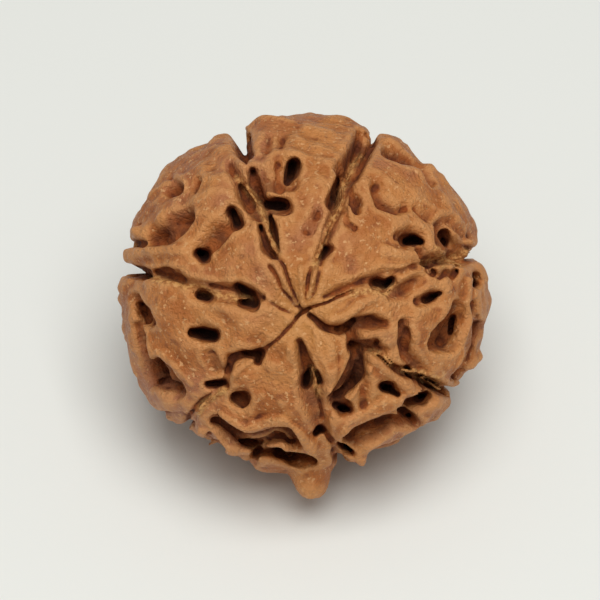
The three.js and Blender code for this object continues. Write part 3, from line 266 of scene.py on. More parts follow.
# What stands above the skin of the face, in the same form
RAISED = [
    (0.35, 0.2, (3.85, -3.95, 0.25), (3.2, -5.0, 0.25), (2.4, -6.0, 0.25)),
    (0.3, 0.25, (4.2, -3.4, 0.2), (5.4, -4.3, 0.25), (6.4, -5.1, 0.3), (7.3, -5.5, 0.15)),
    (0.3, 0.15, (7.2, -5.6, 0.2), (6.0, -5.8, 0.35), (5.0, -6.2, 0.4), (4.0, -6.8, 0.4),
     (2.9, -7.3, 0.35), (2.3, -8.1, 0.25)),
    (0.35, 0.15, (-6.2, -7.6, 0.2), (-5.4, -7.95, 0.22), (-4.8, -8.65, 0.22), (-4.2, -8.95, 0.2),
     (-3.3, -8.98, 0.15), (-2.6, -8.8, 0.15), (-1.9, -8.45, 0.12), (-1.3, -8.6, 0.12),
     (-0.9, -9.05, 0.15)),
    (0.3, 0.12, (-5.1, -5.3, 0.12), (-6.0, -6.0, 0.12), (-6.9, -7.0, 0.15), (-7.3, -7.8, 0.2)),
    (0.15, 0.2, (-10.0, 3.1, 0.3), (-11.1, 3.05, 0.4)),
    (0.4, 0.12, (-8.0, 4.6, 0.12)),
    (0.3, 0.2, (-7.35, 7.6, 0.15), (-7.4, 7.1, 0.15)),
    (0.25, 0.15, (-1.75, 2.5, 0.1), (-1.05, 1.2, 0.1), (-0.4, 0.0, 0.08)),
    (0.25, 0.15, (-0.2, 2.2, 0.1), (-0.15, 1.0, 0.1), (-0.05, 0.0, 0.08)),
    (0.35, 0.14, (1.5, 4.9, 0.08), (1.1, 3.6, 0.08), (0.8, 2.4, 0.09), (0.5, 1.2, 0.09),
     (0.25, 0.4, 0.07)),
    (0.2, 0.15, (-0.9, -2.7, 0.15)),
    (0.2, 0.15, (-3.0, -3.45, 0.1), (-3.9, -3.9, 0.2), (-4.4, -4.4, 0.25)),
    (0.22, 0.2, (-2.85, 8.3, 0.1), (-2.8, 7.6, 0.12), (-2.35, 7.05, 0.15), (-1.5, 6.9, 0.15),
     (-0.7, 6.85, 0.1)),
    (0.3, 0.2, (3.7, -2.1, 0.2)),
    (0.3, 0.25, (8.4, -6.1, 0.35)),
    (0.5, 0.3, (3.5, -9.6, 0.2)),
    (0.5, 0.25, (2.4, -10.3, 0.2)),
    (0.4, 0.4, (-10.5, 4.6, 0.3)),
    (0.4, 0.3, (9.3, -5.4, 0.2)),
    (0.12, 0.15, (-1.1, -1.0, 0.15), (-0.8, -1.0, 0.15)),
    (0.2, 0.2, (-4.8, 6.35, 0.1), (-4.2, 6.1, 0.12), (-3.6, 5.75, 0.1), (-3.1, 5.3, 0.08),
     (-2.75, 4.6, 0.06)),
    (0.35, 0.15, (-5.0, -6.8, 0.3), (-3.5, -7.6, 0.3), (-2.2, -7.1, 0.3), (-1.3, -7.0, 0.3),
     (-0.3, -7.8, 0.35), (0.5, -8.8, 0.35)),
    (0.3, 0.15, (10.2, 1.5, 0.2), (10.25, 0.4, 0.2), (10.45, -0.9, 0.2), (10.0, -3.0, 0.2),
     (9.4, -4.2, 0.2)),
    (0.25, 0.35, (-9.9, -1.6, 0.2), (-9.4, -3.0, 0.3), (-8.6, -3.1, 0.25), (-7.7, -3.9, 0.25),
     (-7.0, -4.9, 0.2)),
    (0.25, 0.2, (0.8, -1.3, 0.3), (1.3, -2.6, 0.6), (1.7, -4.0, 0.35), (1.65, -5.2, 0.2)),
    (0.3, 0.2, (1.6, -0.9, 0.2), (2.6, -0.7, 0.25), (3.4, 0.1, 0.3), (4.2, 0.3, 0.2)),
    (0.35, 0.25, (5.0, 3.3, 0.4), (6.0, 3.1, 0.3), (7.0, 3.0, 0.25)),
    (0.25, 0.25, (-7.5, 3.3, 0.3), (-8.8, 3.3, 0.3), (-10.2, 3.1, 0.3)),
]

# The knob on the bottom lobe: where it points, and the rounds that it is built up from
KNOB_TOWARD = (0.45, -11.2, 0.6)
KNOB = [
    (0.3, 0.4, (0, 0, 1.4)),
    (0.5, 0.3, (0, 0, 1.15)),
    (0.4, 0.25, (0, 0, 1.0)),
    (0.35, 0.45, (0, 0, 0.75)),
]

# Thin walls left standing in the seams: how far their tops are below the skin, and places
MEMBRANES = [
    (0.15, (-4.1, 7.9, 0.08), (-3.5, 7.1, 0.08), (-2.9, 6.4, 0.08), (-2.55, 5.8, 0.08), (-2.3, 4.8, 0.08),
     (-1.95, 3.8, 0.08), (-1.6, 3.1, 0.08)),
    (0.05, (3.5, 9.2, 0.1), (3.05, 8.6, 0.1), (2.85, 8.0, 0.1), (2.55, 7.5, 0.08), (2.3, 6.9, 0.08),
     (2.2, 6.1, 0.08), (1.95, 5.6, 0.08), (1.6, 4.9, 0.08), (1.3, 4.2, 0.08), (1.0, 3.2, 0.08),
     (0.75, 2.3, 0.08)),
    (0.2, (-3.4, 0.33, 0.07), (-4.2, 0.4, 0.09), (-5.2, 0.62, 0.1), (-6.2, 0.95, 0.1), (-7.2, 1.1, 0.1),
     (-8.2, 1.35, 0.1), (-9.2, 1.6, 0.1)),
    (0.05, (3.0, 0.72, 0.08), (3.6, 0.82, 0.08), (4.25, 0.9, 0.08), (4.6, 0.85, 0.08)),
    (0.2, (5.0, 0.7, 0.08), (5.5, 1.1, 0.08)),
    (0.4, (0.45, -3.9, 0.08), (0.75, -4.8, 0.08), (1.1, -5.6, 0.08)),
    (0.1, (4.2, -3.0, 0.08), (4.8, -3.25, 0.08), (5.3, -3.7, 0.08)),
    (0.1, (-4.9, -5.3, 0.1), (-5.6, -5.6, 0.12), (-6.2, -6.1, 0.12), (-6.4, -6.7, 0.1)),
    (0.1, (6.0, -4.05, 0.08), (7.2, -4.3, 0.08), (8.4, -4.75, 0.08)),
    (0.3, (7.3, -4.6, 0.08), (8.6, -5.3, 0.08)),
    (0.15, (7.4, 2.5, 0.08), (8.3, 2.9, 0.08), (9.3, 2.8, 0.08), (10.2, 3.1, 0.08)),
    (0.3, (8.2, 3.4, 0.08), (8.9, 2.8, 0.08), (9.8, 2.5, 0.08)),
    (0.25, (8.6, 2.3, 0.08), (9.2, 3.0, 0.08), (10.4, 3.3, 0.08)),
]

# The far side's hollows, placed by the same rule as on the solid
FAR_POINTS = 150  # directions spread over the whole seed, also those that are left out
FAR_FACE_LIMIT = -0.05  # a direction whose part toward the camera is more than this is left out
FAR_HALF_WIDTH = (0.3, 0.6)
FAR_END_WIDTH = (0.4, 1.0)  # the width at the ends, as a part of that in the middle
FAR_DEPTH = (0.8, 2.0)
FAR_LENGTH = (0.3, 3.2)
FAR_BEND = 0.5  # the greatest bend, as a part of half the length
FAR_LEAN = 38.0  # most degrees away from the way round the seed
FAR_DIP_DEPTH = 0.45
FAR_DIP_WIDTH = 0.55  # how much wider than its hollow a dip is, on each side
FAR_DIP_SLOPE = 0.45
GOLDEN_ANGLE = math.pi * (3 - math.sqrt(5))

# The stalk scar, opposite the apex: a pit with sloping walls, and a low collar round it
SCAR = {
    "pit_radius": 0.8,
    "pit_slope": 0.4,  # half the width of the walls' slope, as a part of the radius
    "pit_depth": 1.7,
    "collar_radius": 1.9,
    "collar_width": 0.75,
    "collar_height": 0.4,
}
LUMPS = ((7.3, 0.15, 0.4), (3.4, 0.1, 1.9))  # pitch, height and shift of each wave of the body

# The grid, in millimetres
CELL = 0.125
REACH = 13.4  # half the side of the grid
FAR_AWAY = 99.0  # farther than any point of the grid
TINY = 1e-6  # keeps a division from having nothing below
MOST_TRIANGLES = 196000

# How much of the grid a stroke is worked out on, in millimetres
OVER_SKIN = 1.6  # how far above the smooth ball
UNDER_SKIN = 3.0  # how far down, where a stroke raises, lowers or fills
UNDER_FLOOR = 0.6  # how far below the floor of a hollow
WIDTH_MARGIN = 1.4  # how far to each side, as a multiple of the stroke's half width
BESIDE_STROKE = 0.8  # and how many millimetres more
VIEW_EDGE = 2.5  # how far behind the seed's middle, as the stroke sees it, its effect has faded away

# What only the fine mesh has, in millimetres where nothing else is said
SLANT = 52.0  # most degrees between a hollow's course inward and the skin's own
LEAST_TILT = 0.1  # below this many degrees the two are the same
TAPER = 0.12  # how much narrower a hollow gets with each millimetre
TAPER_MIDDLE = 1.1  # the depth where it has its own width
CRACK_RIM = 0.13  # hollows with a rim up to this are cracks, with parallel sides
BOWL_OF_WIDTH = 0.6  # the rounding of a hollow's floor, at most this part of its half width
BOWL_OF_DEPTH = 0.8  # and this part of its depth
ROUGHNESS = ((2.6, 0.22), (1.2, 0.15), (0.6, 0.11))  # pitch and height of the small lumps of the skin
ROUGHNESS_SEED = 1
WOBBLE = ((1.3, 0.13), (0.6, 0.06))  # pitch and size of the bends in the hollows' outlines
WOBBLE_SEEDS = (20, 25, 30)  # for the bends along x, y and z
CRISPNESS = 0.7  # the width of the slopes, as a part of the solid's
DIP_GAIN = 1.25  # the depth of the dips, as a multiple of the solid's
RIM_ROUND = 0.25  # the rims of the far side's hollows
MEMBRANE_TRIM = 0.02  # how much thinner each side of a membrane is than its row says
MEMBRANE_FOOT = 0.06  # the rounding where it joins the seam's walls

# What the skin's colour goes by, each a number at every vertex
MARKS = ("hollow", "dip", "pale", "crevice", "valley")
PALE_REACH = 0.26  # how far from a membrane its pale colour goes
CROWDING_REACH = (0.3, 0.9)  # how far round a point its crowding by the solid is measured, fine and broad

# Colours as they look on a screen, from 0 to 255
TONES = {
    "tan": (170, 99, 44),
    "orange": (194, 127, 68),
    "brown": (172, 108, 68),
    "fleck": (136, 74, 34),
    "apex": (200, 142, 76),
    "pink": (176, 120, 92),
    "speck": (218, 166, 112),
    "worn": (208, 146, 88),
    # The colours of low places and pits below are partly the skin's own stain and partly painted shade
    "dark bottom": (98, 46, 20),
    "red bottom": (142, 72, 26),
    "fibre": (160, 100, 48),
    "pale fibre": (216, 162, 96),
    "pit": (36, 15, 8),
}

# The noises in the skin: pitch in millimetres, detail, roughness, and the shift that keeps them apart
NOISES = {
    "patches": (2.2, 3.0, 0.5, 0.0),
    "blotches": (4.5, 2.0, 0.5, 1.0),
    "flecks": (0.7, 3.0, 0.6, 2.0),
    "specks": (0.3, 2.0, 0.5, 3.0),
    "bottoms": (1.1, 3.0, 0.6, 4.0),
    "fibres": (0.35, 3.0, 0.6, 5.0),
    "coarse grain": (0.8, 4.0, 0.6, 6.0),
    "fine grain": (0.22, 3.0, 0.6, 7.0),
}

# The layers of the colour: where each begins, where it is full, and its share there
LAYERS = {
    "patches": (0.38, 0.64, 1.0),  # the first six go by the noise of that name, from 0 to 1
    "blotches": (0.5, 0.72, 1.0),
    "flecks": (0.52, 0.72, 0.7),
    "specks": (0.6, 0.68, 0.7),
    "bottoms": (0.4, 0.62, 1.0),
    "fibres": (0.4, 0.6, 1.0),
    "apex": (4.0, 0.5, 0.6),  # millimetres from the apex
    "left": (-1.0, -7.0, 1.0),  # millimetres to the right of the middle
    "lower": (13.0, 6.5, 1.0),  # millimetres above the floor
    "worn": (0.49, 0.4, 0.6),  # the fine crowding
    # The next four darken clefts, valleys, dips and pits: partly the skin's own stain, partly painted
    # shade
    "crevice": (0.53, 0.66, 1.0),  # the fine crowding
    "valley": (0.52, 0.64, 0.85),  # the broad crowding
    "dip": (0.2, 0.85, 0.85),  # millimetres that the dips take off
    "hollow": (1.3, 2.8, 1.0),  # millimetres below the skin
}
PINK_SHARE = 0.7
FIBRE_SHARE = 0.85
SKIN_SPECULAR = 0.3
SKIN_ROUGHNESS = (0.5, 0.85)  # on the plateaus, and in low places
GRAIN_STRENGTH = 0.9
GRAIN_HEIGHT = 0.25  # millimetres

# The stage, in metres and watts
FLOOR_SIZE = 1.2
FLOOR_COLOR = (0.80, 0.81, 0.765, 1.0)
FLOOR_ROUGHNESS = 0.7
KEY_PLACE = (0.02, -0.11, 0.4)
KEY_SIZE = 0.26
KEY_POWER = 1.46
ROOM_COLOR = (1.0, 1.0, 0.99, 1.0)
ROOM_STRENGTH = 0.3
CAMERA_DISTANCE = 0.4
SENSOR = 36  # millimetres, the unit of a lens
VIEW_WIDTH = 0.0375  # what the picture spans at the seed
VIEW_SHIFT = 0.25e-3  # how far up and to the left of the seed's middle the camera looks


def unit(vectors):
    return vectors / np.linalg.norm(vectors, axis=-1, keepdims=True)


def smoothstep(value, low, high):
    share = np.clip((value - low) / (high - low), 0, 1)
    return share * share * (3 - 2 * share)


def lerp(low, high, share):
    return low + (high - low) * share


def along(points, way):
    """How far points are along a way. Points come as three arrays, of x, y and z."""
    return sum(part * share for part, share in zip(points, way))


def over_skin(direction, middle):
    """How far directions are from a middle one, as a length on the skin."""
    return SKIN_RADIUS * np.sqrt(sum((part - centre) ** 2 for part, centre in zip(direction, middle)))


def on_face(across, up):
    """The point of the skin that the camera sees at a place on the face, roughly."""
    inside = max(0.0, 1 - (across**2 + (up - BODY_SHIFT) ** 2) / EQUATOR_RADIUS**2)
    return np.array([across, up, POLE_RADIUS * math.sqrt(inside)])


AXIS = unit(on_face(*APEX))
REST = np.array([0, -math.cos(math.radians(FACE_TILT)), -math.sin(math.radians(FACE_TILT))])


def scatter(index, salt):
    """A repeatable number from 0 to 1."""
    value = math.sin(index * 12.9898 + salt * 78.233) * 43758.5453
    return value - math.floor(value)


def wave(point, pitch, shift):
    """A bent wave from -1 to 1, the same as on the solid."""
    x, y, z = point
    turn = 2 * math.pi / pitch
    bend = np.sin(turn * 0.8 * z + 3 * shift)
    first = np.sin(turn * (x + 0.6 * y) + shift + 1.5 * bend)
    return first * np.cos(turn * (y - 0.5 * z) + 2 * shift + bend)


def lattice_noise(line, pitch, seed):
    """Smooth noise from -1 to 1 on the grid, with lumps about as wide as the pitch."""
    count = int(2 * REACH / pitch) + 3
    noise = np.random.default_rng(seed).uniform(-1, 1, (count,) * 3).astype(np.float32)
    place = (line + REACH) / pitch
    below = place.astype(int)
    share = smoothstep(place - below, 0, 1)
    weights = np.zeros((len(line), count), np.float32)
    weights[np.arange(len(line)), below] = 1 - share
    weights[np.arange(len(line)), below + 1] = share
    for _ in range(3):
        noise = np.tensordot(weights, noise, (1, 2))
    return noise


def layered_noise(line, layers, seed):
    return sum(size * lattice_noise(line, pitch, seed + k) for k, (pitch, size) in enumerate(layers))


def blurred(values, reach):
    """The mean of the values within so many cells along each axis."""
    width = 2 * reach + 1
    for axis in range(3):
        padding = [(reach + 1, reach) if k == axis else (0, 0) for k in range(3)]
        total = np.cumsum(np.pad(values, padding, mode="edge"), axis=axis, dtype=np.float32)
        total = np.moveaxis(total, axis, 0)
        values = np.moveaxis((total[width:] - total[:-width]) / width, 0, axis)
    return values


def rounded_max(first, second, radius):
    """The larger of two values, with a rounding where they are nearly the same."""
    overlap = np.maximum(radius - np.abs(first - second), 0) / radius
    return np.maximum(first, second) + overlap * overlap * radius / 4


class Stroke:
    """A course over the skin, drawn on a plane that is looked at along its outward axis."""

    def __init__(self, course, axes=np.eye(3), middle=None, size=1.0, rim=0.2):
        self.course = np.array(course, float)
        self.axes = axes  # rows: right, up, outward
        self.outward = axes[2]
        self.size = size  # depth or height
        self.rim = rim
        self.widest = self.course[:, 2].max()
        self.points = [self.on_skin(across, up, middle) for across, up, _ in self.course]
        self.find_way_in()

    def on_skin(self, across, up, middle):
        if middle is None:
            return on_face(across, up)
        return middle * SKIN_RADIUS + across * self.axes[0] + up * self.axes[1]

    def find_way_in(self):
        """The course inward: along the view, but never far from straight down into the skin."""
        normal = unit(sum(self.points))
        tilt = math.degrees(math.acos(np.clip(normal @ self.outward, -1, 1)))
        lean = math.radians(min(tilt, SLANT))
        self.cosine = math.cos(lean)
        self.inward = -normal
        if tilt > LEAST_TILT:
            side = unit(self.outward - normal * (normal @ self.outward))
            self.inward = -(math.cos(lean) * normal + math.sin(lean) * side)

    def box(self, line, below):
        """The block of the grid that the stroke can change, down to a depth."""
        cell = line[1] - line[0]
        margin = self.widest * WIDTH_MARGIN + BESIDE_STROKE
        corners = []
        for point in self.points:
            corners += [point + unit(point) * OVER_SKIN, point + self.inward * (below / self.cosine)]
        corners = np.array(corners)
        low = np.clip(((corners.min(0) - margin + REACH) / cell).astype(int), 0, len(line) - 1)
        high = np.clip(((corners.max(0) + margin + REACH) / cell).astype(int) + 2, 1, len(line))
        return tuple(slice(start, end) for start, end in zip(low, high))

    def distance(self, points, depth):
        """Signed distance to the outline on the drawing plane, from where the way out meets the skin."""
        reach = np.maximum(depth, 0) / self.cosine
        entry = [points[k] - reach * self.inward[k] for k in range(3)]
        across, up = [along(entry, axis) for axis in self.axes[:2]]
        places = list(self.course)
        nearest = None
        for start, end in list(zip(places, places[1:])) or [(places[0], places[0])]:
            run = end - start
            right, above = across - start[0], up - start[1]
            length = max(run[0] ** 2 + run[1] ** 2, TINY)
            share = np.clip((right * run[0] + above * run[1]) / length, 0, 1)
            gap = np.hypot(right - run[0] * share, above - run[1] * share)
            gap = gap - start[2] - run[2] * share
            nearest = gap if nearest is None else np.minimum(nearest, gap)
        return nearest


def face_strokes(entries):
    return [Stroke(places, size=size, rim=rim) for size, rim, *places in entries]


def knob_strokes():
    outward = unit(np.array(KNOB_TOWARD))
    right = unit(np.eye(3)[0] - outward * outward[0])
    axes = np.array([right, np.cross(outward, right), outward])
    return [Stroke(places, axes, outward, size, rim) for size, rim, *places in KNOB]


def turned(vector, about, angle):
    return np.array(Matrix.Rotation(angle, 3, Vector(about)) @ Vector(vector))


def spiral_direction(index):
    """The rule's directions, spread evenly over the whole seed."""
    height = 1 - 2 * (index + 0.5) / FAR_POINTS
    ring = math.sqrt(1 - height**2)
    turn = index * GOLDEN_ANGLE
    return np.array([ring * math.sin(turn), ring * math.cos(turn), height])


def far_stroke(index, middle):
    """One of the rule's hollows: it runs round the seed, more or less, with a slight bend."""
    lean = math.radians(FAR_LEAN) * (2 * scatter(index, 1) - 1)
    around = turned(unit(np.cross(AXIS, middle)), middle, lean)
    around = unit(around - middle * (around @ middle))
    axes = np.array([around, np.cross(middle, around), middle])
    reach = lerp(*FAR_LENGTH, scatter(index, 2) ** 2) / 2
    bend = reach * FAR_BEND * (2 * scatter(index, 3) - 1)
    wide = lerp(*FAR_HALF_WIDTH, scatter(index, 4))
    depth = lerp(*FAR_DEPTH, scatter(index, 5))
    first, last = [wide * lerp(*FAR_END_WIDTH, scatter(index, salt)) for salt in (6, 7)]
    course = [(-reach, 0, first), (0, bend, wide), (reach, 0, last)]
    return Stroke(course, axes, middle, depth, RIM_ROUND)


def far_strokes():
    middles = [spiral_direction(index) for index in range(FAR_POINTS)]
    return [far_stroke(k, middle) for k, middle in enumerate(middles) if middle[2] <= FAR_FACE_LIMIT]


def far_dips():
    """A broad dip round each of the rule's hollows."""
    dips = far_strokes()
    for dip in dips:
        dip.course[:, 2] += FAR_DIP_WIDTH
        dip.widest += FAR_DIP_WIDTH
        dip.size, dip.rim = FAR_DIP_DEPTH, FAR_DIP_SLOPE
    return dips


class Body:
    """The seed without its hollows: how deep points are below its skin, and how full its relief is."""

    def __init__(self, points):
        radius = np.sqrt(sum(part * part for part in points)) + TINY
        direction = [part / radius for part in points]
        toward_pole = along(direction, AXIS) ** 2
        egg = 1 / np.sqrt(toward_pole / POLE_RADIUS**2 + (1 - toward_pole) / EQUATOR_RADIUS**2)
        egg += BODY_SHIFT * direction[1] - BODY_FLATNESS * direction[1] ** 2
        self.relief = smoothstep(over_skin(direction, REST), REST_BARE_RADIUS, REST_FADE_RADIUS)
        ball = lerp(REST_PAD_RADIUS, egg, self.relief)
        surface = [part * ball for part in direction]
        lumps = sum(size * wave(surface, pitch, shift) for pitch, size, shift in LUMPS)
        height = scar_height(direction) + lumps
        self.find_seams(surface)
        self.depth = ball + self.relief * (height - self.sag) - radius

    def find_seams(self, point):
        """Distance from the nearest seam's walls, and how far the shoulders of the lobes sag."""
        toward_apex = along(point, AXIS)
        across = [point[k] - toward_apex * AXIS[k] for k in range(3)]
        from_axis = np.sqrt(sum(part * part for part in across))
        closing = smoothstep(from_axis, *SEAM_CLOSING)
        opening = np.where(toward_apex > 0, smoothstep(from_axis, *SEAM_REACH), closing)
        self.seam_gap = np.full_like(toward_apex, FAR_AWAY)
        self.seam_depth = np.zeros_like(toward_apex)
        nearest = np.full_like(toward_apex, FAR_AWAY)
        for angle, depth, half_width in SEAMS:
            outward = np.array([math.cos(math.radians(angle)), math.sin(math.radians(angle)), 0])
            outward = unit(outward - AXIS * (outward @ AXIS))
            aside = np.abs(along(across, np.cross(AXIS, outward)))
            distance = np.where(along(across, outward) > 0, aside, FAR_AWAY)
            closer = distance < nearest
            nearest = np.where(closer, distance, nearest)
            self.seam_gap = np.where(closer, distance - half_width * opening, self.seam_gap)
            self.seam_depth = np.where(closer, depth * opening, self.seam_depth)
        self.sag = SHOULDER_SAG * opening * np.exp(-((nearest / SHOULDER_WIDTH) ** 2))


def scar_height(direction):
    """How far the scar's collar stands above the skin, less its pit."""
    away = over_skin(direction, -AXIS)
    collar = np.exp(-(((away - SCAR["collar_radius"]) / SCAR["collar_width"]) ** 2))
    inner, outer = [SCAR["pit_radius"] * (1 + side * SCAR["pit_slope"]) for side in (-1, 1)]
    pit = 1 - smoothstep(away, inner, outer)
    return SCAR["collar_height"] * collar - SCAR["pit_depth"] * pit


def block(line, box):
    return np.meshgrid(*[line[part] for part in box], indexing="ij")


def raise_skin(depth, line, stroke, height):
    """Raises the skin inside a stroke, or lowers it, with a slope out to its rim."""
    slope = CRISPNESS * stroke.rim
    box = stroke.box(line, UNDER_SKIN)
    points = block(line, box)
    radius = np.sqrt(sum(part * part for part in points))
    lifted = [part * (1 + depth[box] / radius) for part in points]
    gap = stroke.distance(lifted, np.zeros_like(radius))
    in_view = smoothstep(along(lifted, stroke.outward), -VIEW_EDGE, 0)
    depth[box] += height * in_view * (1 - smoothstep(gap, -slope, slope))


def skin_depth(body, line):
    """How deep points are below the skin with its ridges and dips, and how much the dips took off."""
    depth = body.depth.copy()
    for stroke in face_strokes(RAISED) + knob_strokes():
        raise_skin(depth, line, stroke, stroke.size)
    undipped = depth.copy()
    for stroke in face_strokes(DIPS) + far_dips():
        raise_skin(depth, line, stroke, -DIP_GAIN * stroke.size)
    dip = undipped - depth
    depth += body.relief * layered_noise(line, ROUGHNESS, ROUGHNESS_SEED)
    return depth, dip


def cut_seams(depth, body):
    """The field of the skin less the seams past the face."""
    gap = body.seam_gap + SEAM_TAPER * np.clip(depth, 0, SEAM_TAPER_DEPTH)
    above_floor = depth - body.seam_depth * body.relief
    return rounded_max(-depth, -np.maximum(gap, above_floor), SEAM_ROUND)


def cut_hollow(field, depth, relief, bends, line, stroke):
    """Cuts a hollow with a rounded floor. All but the cracks get narrower on the way down."""
    box = stroke.box(line, stroke.size + UNDER_FLOOR)
    points = block(line, box)
    below = depth[box]
    gap = stroke.distance([points[k] + bends[k][box] for k in range(3)], below)
    if stroke.rim > CRACK_RIM:
        gap = gap + TAPER * (np.maximum(below, 0) - TAPER_MIDDLE)
    bowl = min(BOWL_OF_WIDTH * stroke.widest, BOWL_OF_DEPTH * stroke.size)
    out = gap + bowl
    down = below - stroke.size * relief[box] + bowl
    outside = np.hypot(np.maximum(out, 0), np.maximum(down, 0))
    hollow = np.minimum(np.maximum(out, down), 0) + outside - bowl
    field[box] = rounded_max(field[box], -hollow, stroke.rim)


def stand_membrane(field, pale, depth, bends, line, entry):
    """Puts a thin wall back into a seam, and marks what is near it as pale."""
    top, *places = entry
    stroke = Stroke([(across, up, half - MEMBRANE_TRIM) for across, up, half in places])
    box = stroke.box(line, UNDER_SKIN)
    points = block(line, box)
    gap = stroke.distance([points[k] + bends[k][box] for k in range(3)], depth[box])
    wall = np.maximum(gap, top - depth[box])
    field[box] = -rounded_max(-field[box], -wall, MEMBRANE_FOOT)
    pale[box] = np.maximum(pale[box], 1 - smoothstep(gap, 0.0, PALE_REACH))


def crowding(field, reach):
    """How full of the solid the surroundings of each point are: a half on a flat skin, more in a cleft."""
    solid = np.clip(0.5 - field / CELL, 0, 1)
    cells = round(reach / CELL)
    return blurred(blurred(solid, cells), cells)


def seed_field():
    """The field whose zero surface is the seed's skin, negative inside, and the marks that go with it."""
    count = int(round(2 * REACH / CELL)) + 1
    line = np.linspace(-REACH, REACH, count, dtype=np.float32)
    body = Body(block(line, (slice(None),) * 3))
    depth, dip = skin_depth(body, line)
    field = cut_seams(depth, body)
    bends = [layered_noise(line, WOBBLE, seed) for seed in WOBBLE_SEEDS]
    hollows = [entry for entries in HOLLOWS.values() for entry in entries]
    for stroke in face_strokes(FACE_SEAMS + hollows) + far_strokes():
        cut_hollow(field, depth, body.relief, bends, line, stroke)
    pale = np.zeros_like(field)
    for entry in MEMBRANES:
        stand_membrane(field, pale, depth, bends, line, entry)
    crevice, valley = [crowding(field, reach) for reach in CROWDING_REACH]
    return field, dict(zip(MARKS, (depth, dip, pale, crevice, valley)))


def to_scene(points):
    """Points in the face's frame, in millimetres, as points in the scene, in metres."""
    tilt = math.radians(90 - FACE_TILT)
    x, y, z = points.T
    back = y * math.cos(tilt) - z * math.sin(tilt)
    height = y * math.sin(tilt) + z * math.cos(tilt)
    placed = np.stack([x, back, height], 1)
    placed[:, 2] += REST_HEIGHT
    return placed * MM


def to_grid(points):
    """Points in the scene, in metres, as places on the grid, counted in cells."""
    tilt = math.radians(90 - FACE_TILT)
    x, back, height = (points / MM - np.array([0, 0, REST_HEIGHT])).T
    y = back * math.cos(tilt) + height * math.sin(tilt)
    z = height * math.cos(tilt) - back * math.sin(tilt)
    return (np.stack([x, y, z], 1) + REACH) / CELL


def sample(values, places):
    """The values of a grid at places between its points."""
    low = np.clip(np.floor(places).astype(int), 0, np.array(values.shape) - 2)
    share = places - low
    total = 0
    for corner in itertools.product((0, 1), repeat=3):
        weight = np.prod(np.where(corner, share, 1 - share), axis=1)
        total = total + weight * values[tuple((low + corner).T)]
    return total


def thin_out(seed):
    """Takes triangles away where they matter least, until few enough are left."""
    triangles = sum(len(face.vertices) - 2 for face in seed.data.polygons)
    if triangles <= MOST_TRIANGLES:
        return
    fewer = seed.modifiers.new("fewer", "DECIMATE")
    fewer.ratio = MOST_TRIANGLES / triangles
    bpy.context.view_layer.objects.active = seed
    bpy.ops.object.modifier_apply(modifier=fewer.name)


def mark_skin(seed, marks):
    """Writes the marks on the mesh, each as a number at every vertex."""
    mesh = seed.data
    points = np.empty(3 * len(mesh.vertices), np.float32)
    mesh.vertices.foreach_get("co", points)
    places = to_grid(points.reshape(-1, 3))
    for name, values in marks.items():
        attribute = mesh.attributes.new(name, "FLOAT", "POINT")
        attribute.data.foreach_set("value", sample(values, places).astype(np.float32))


def build_seed():
    field, marks = seed_field()
    grid = openvdb.FloatGrid()
    grid.copyFromArray(field)
    points, triangles, quads = grid.convertToPolygons(isovalue=0.0, adaptivity=0.0)
    faces = [corners[::-1] for corners in quads.tolist() + triangles.tolist()]  # turned to look outward
    placed = to_scene(points * CELL - REACH)
    placed[:, 2] = np.maximum(placed[:, 2], 0)
    mesh = bpy.data.meshes.new("rudraksha_skin")
    mesh.from_pydata(placed.tolist(), [], faces)
    mesh.update()
    mesh.shade_smooth()
    seed = bpy.data.objects.new("rudraksha_skin", mesh)
    bpy.context.scene.collection.objects.link(seed)
    thin_out(seed)
    mark_skin(seed, marks)
    return seed


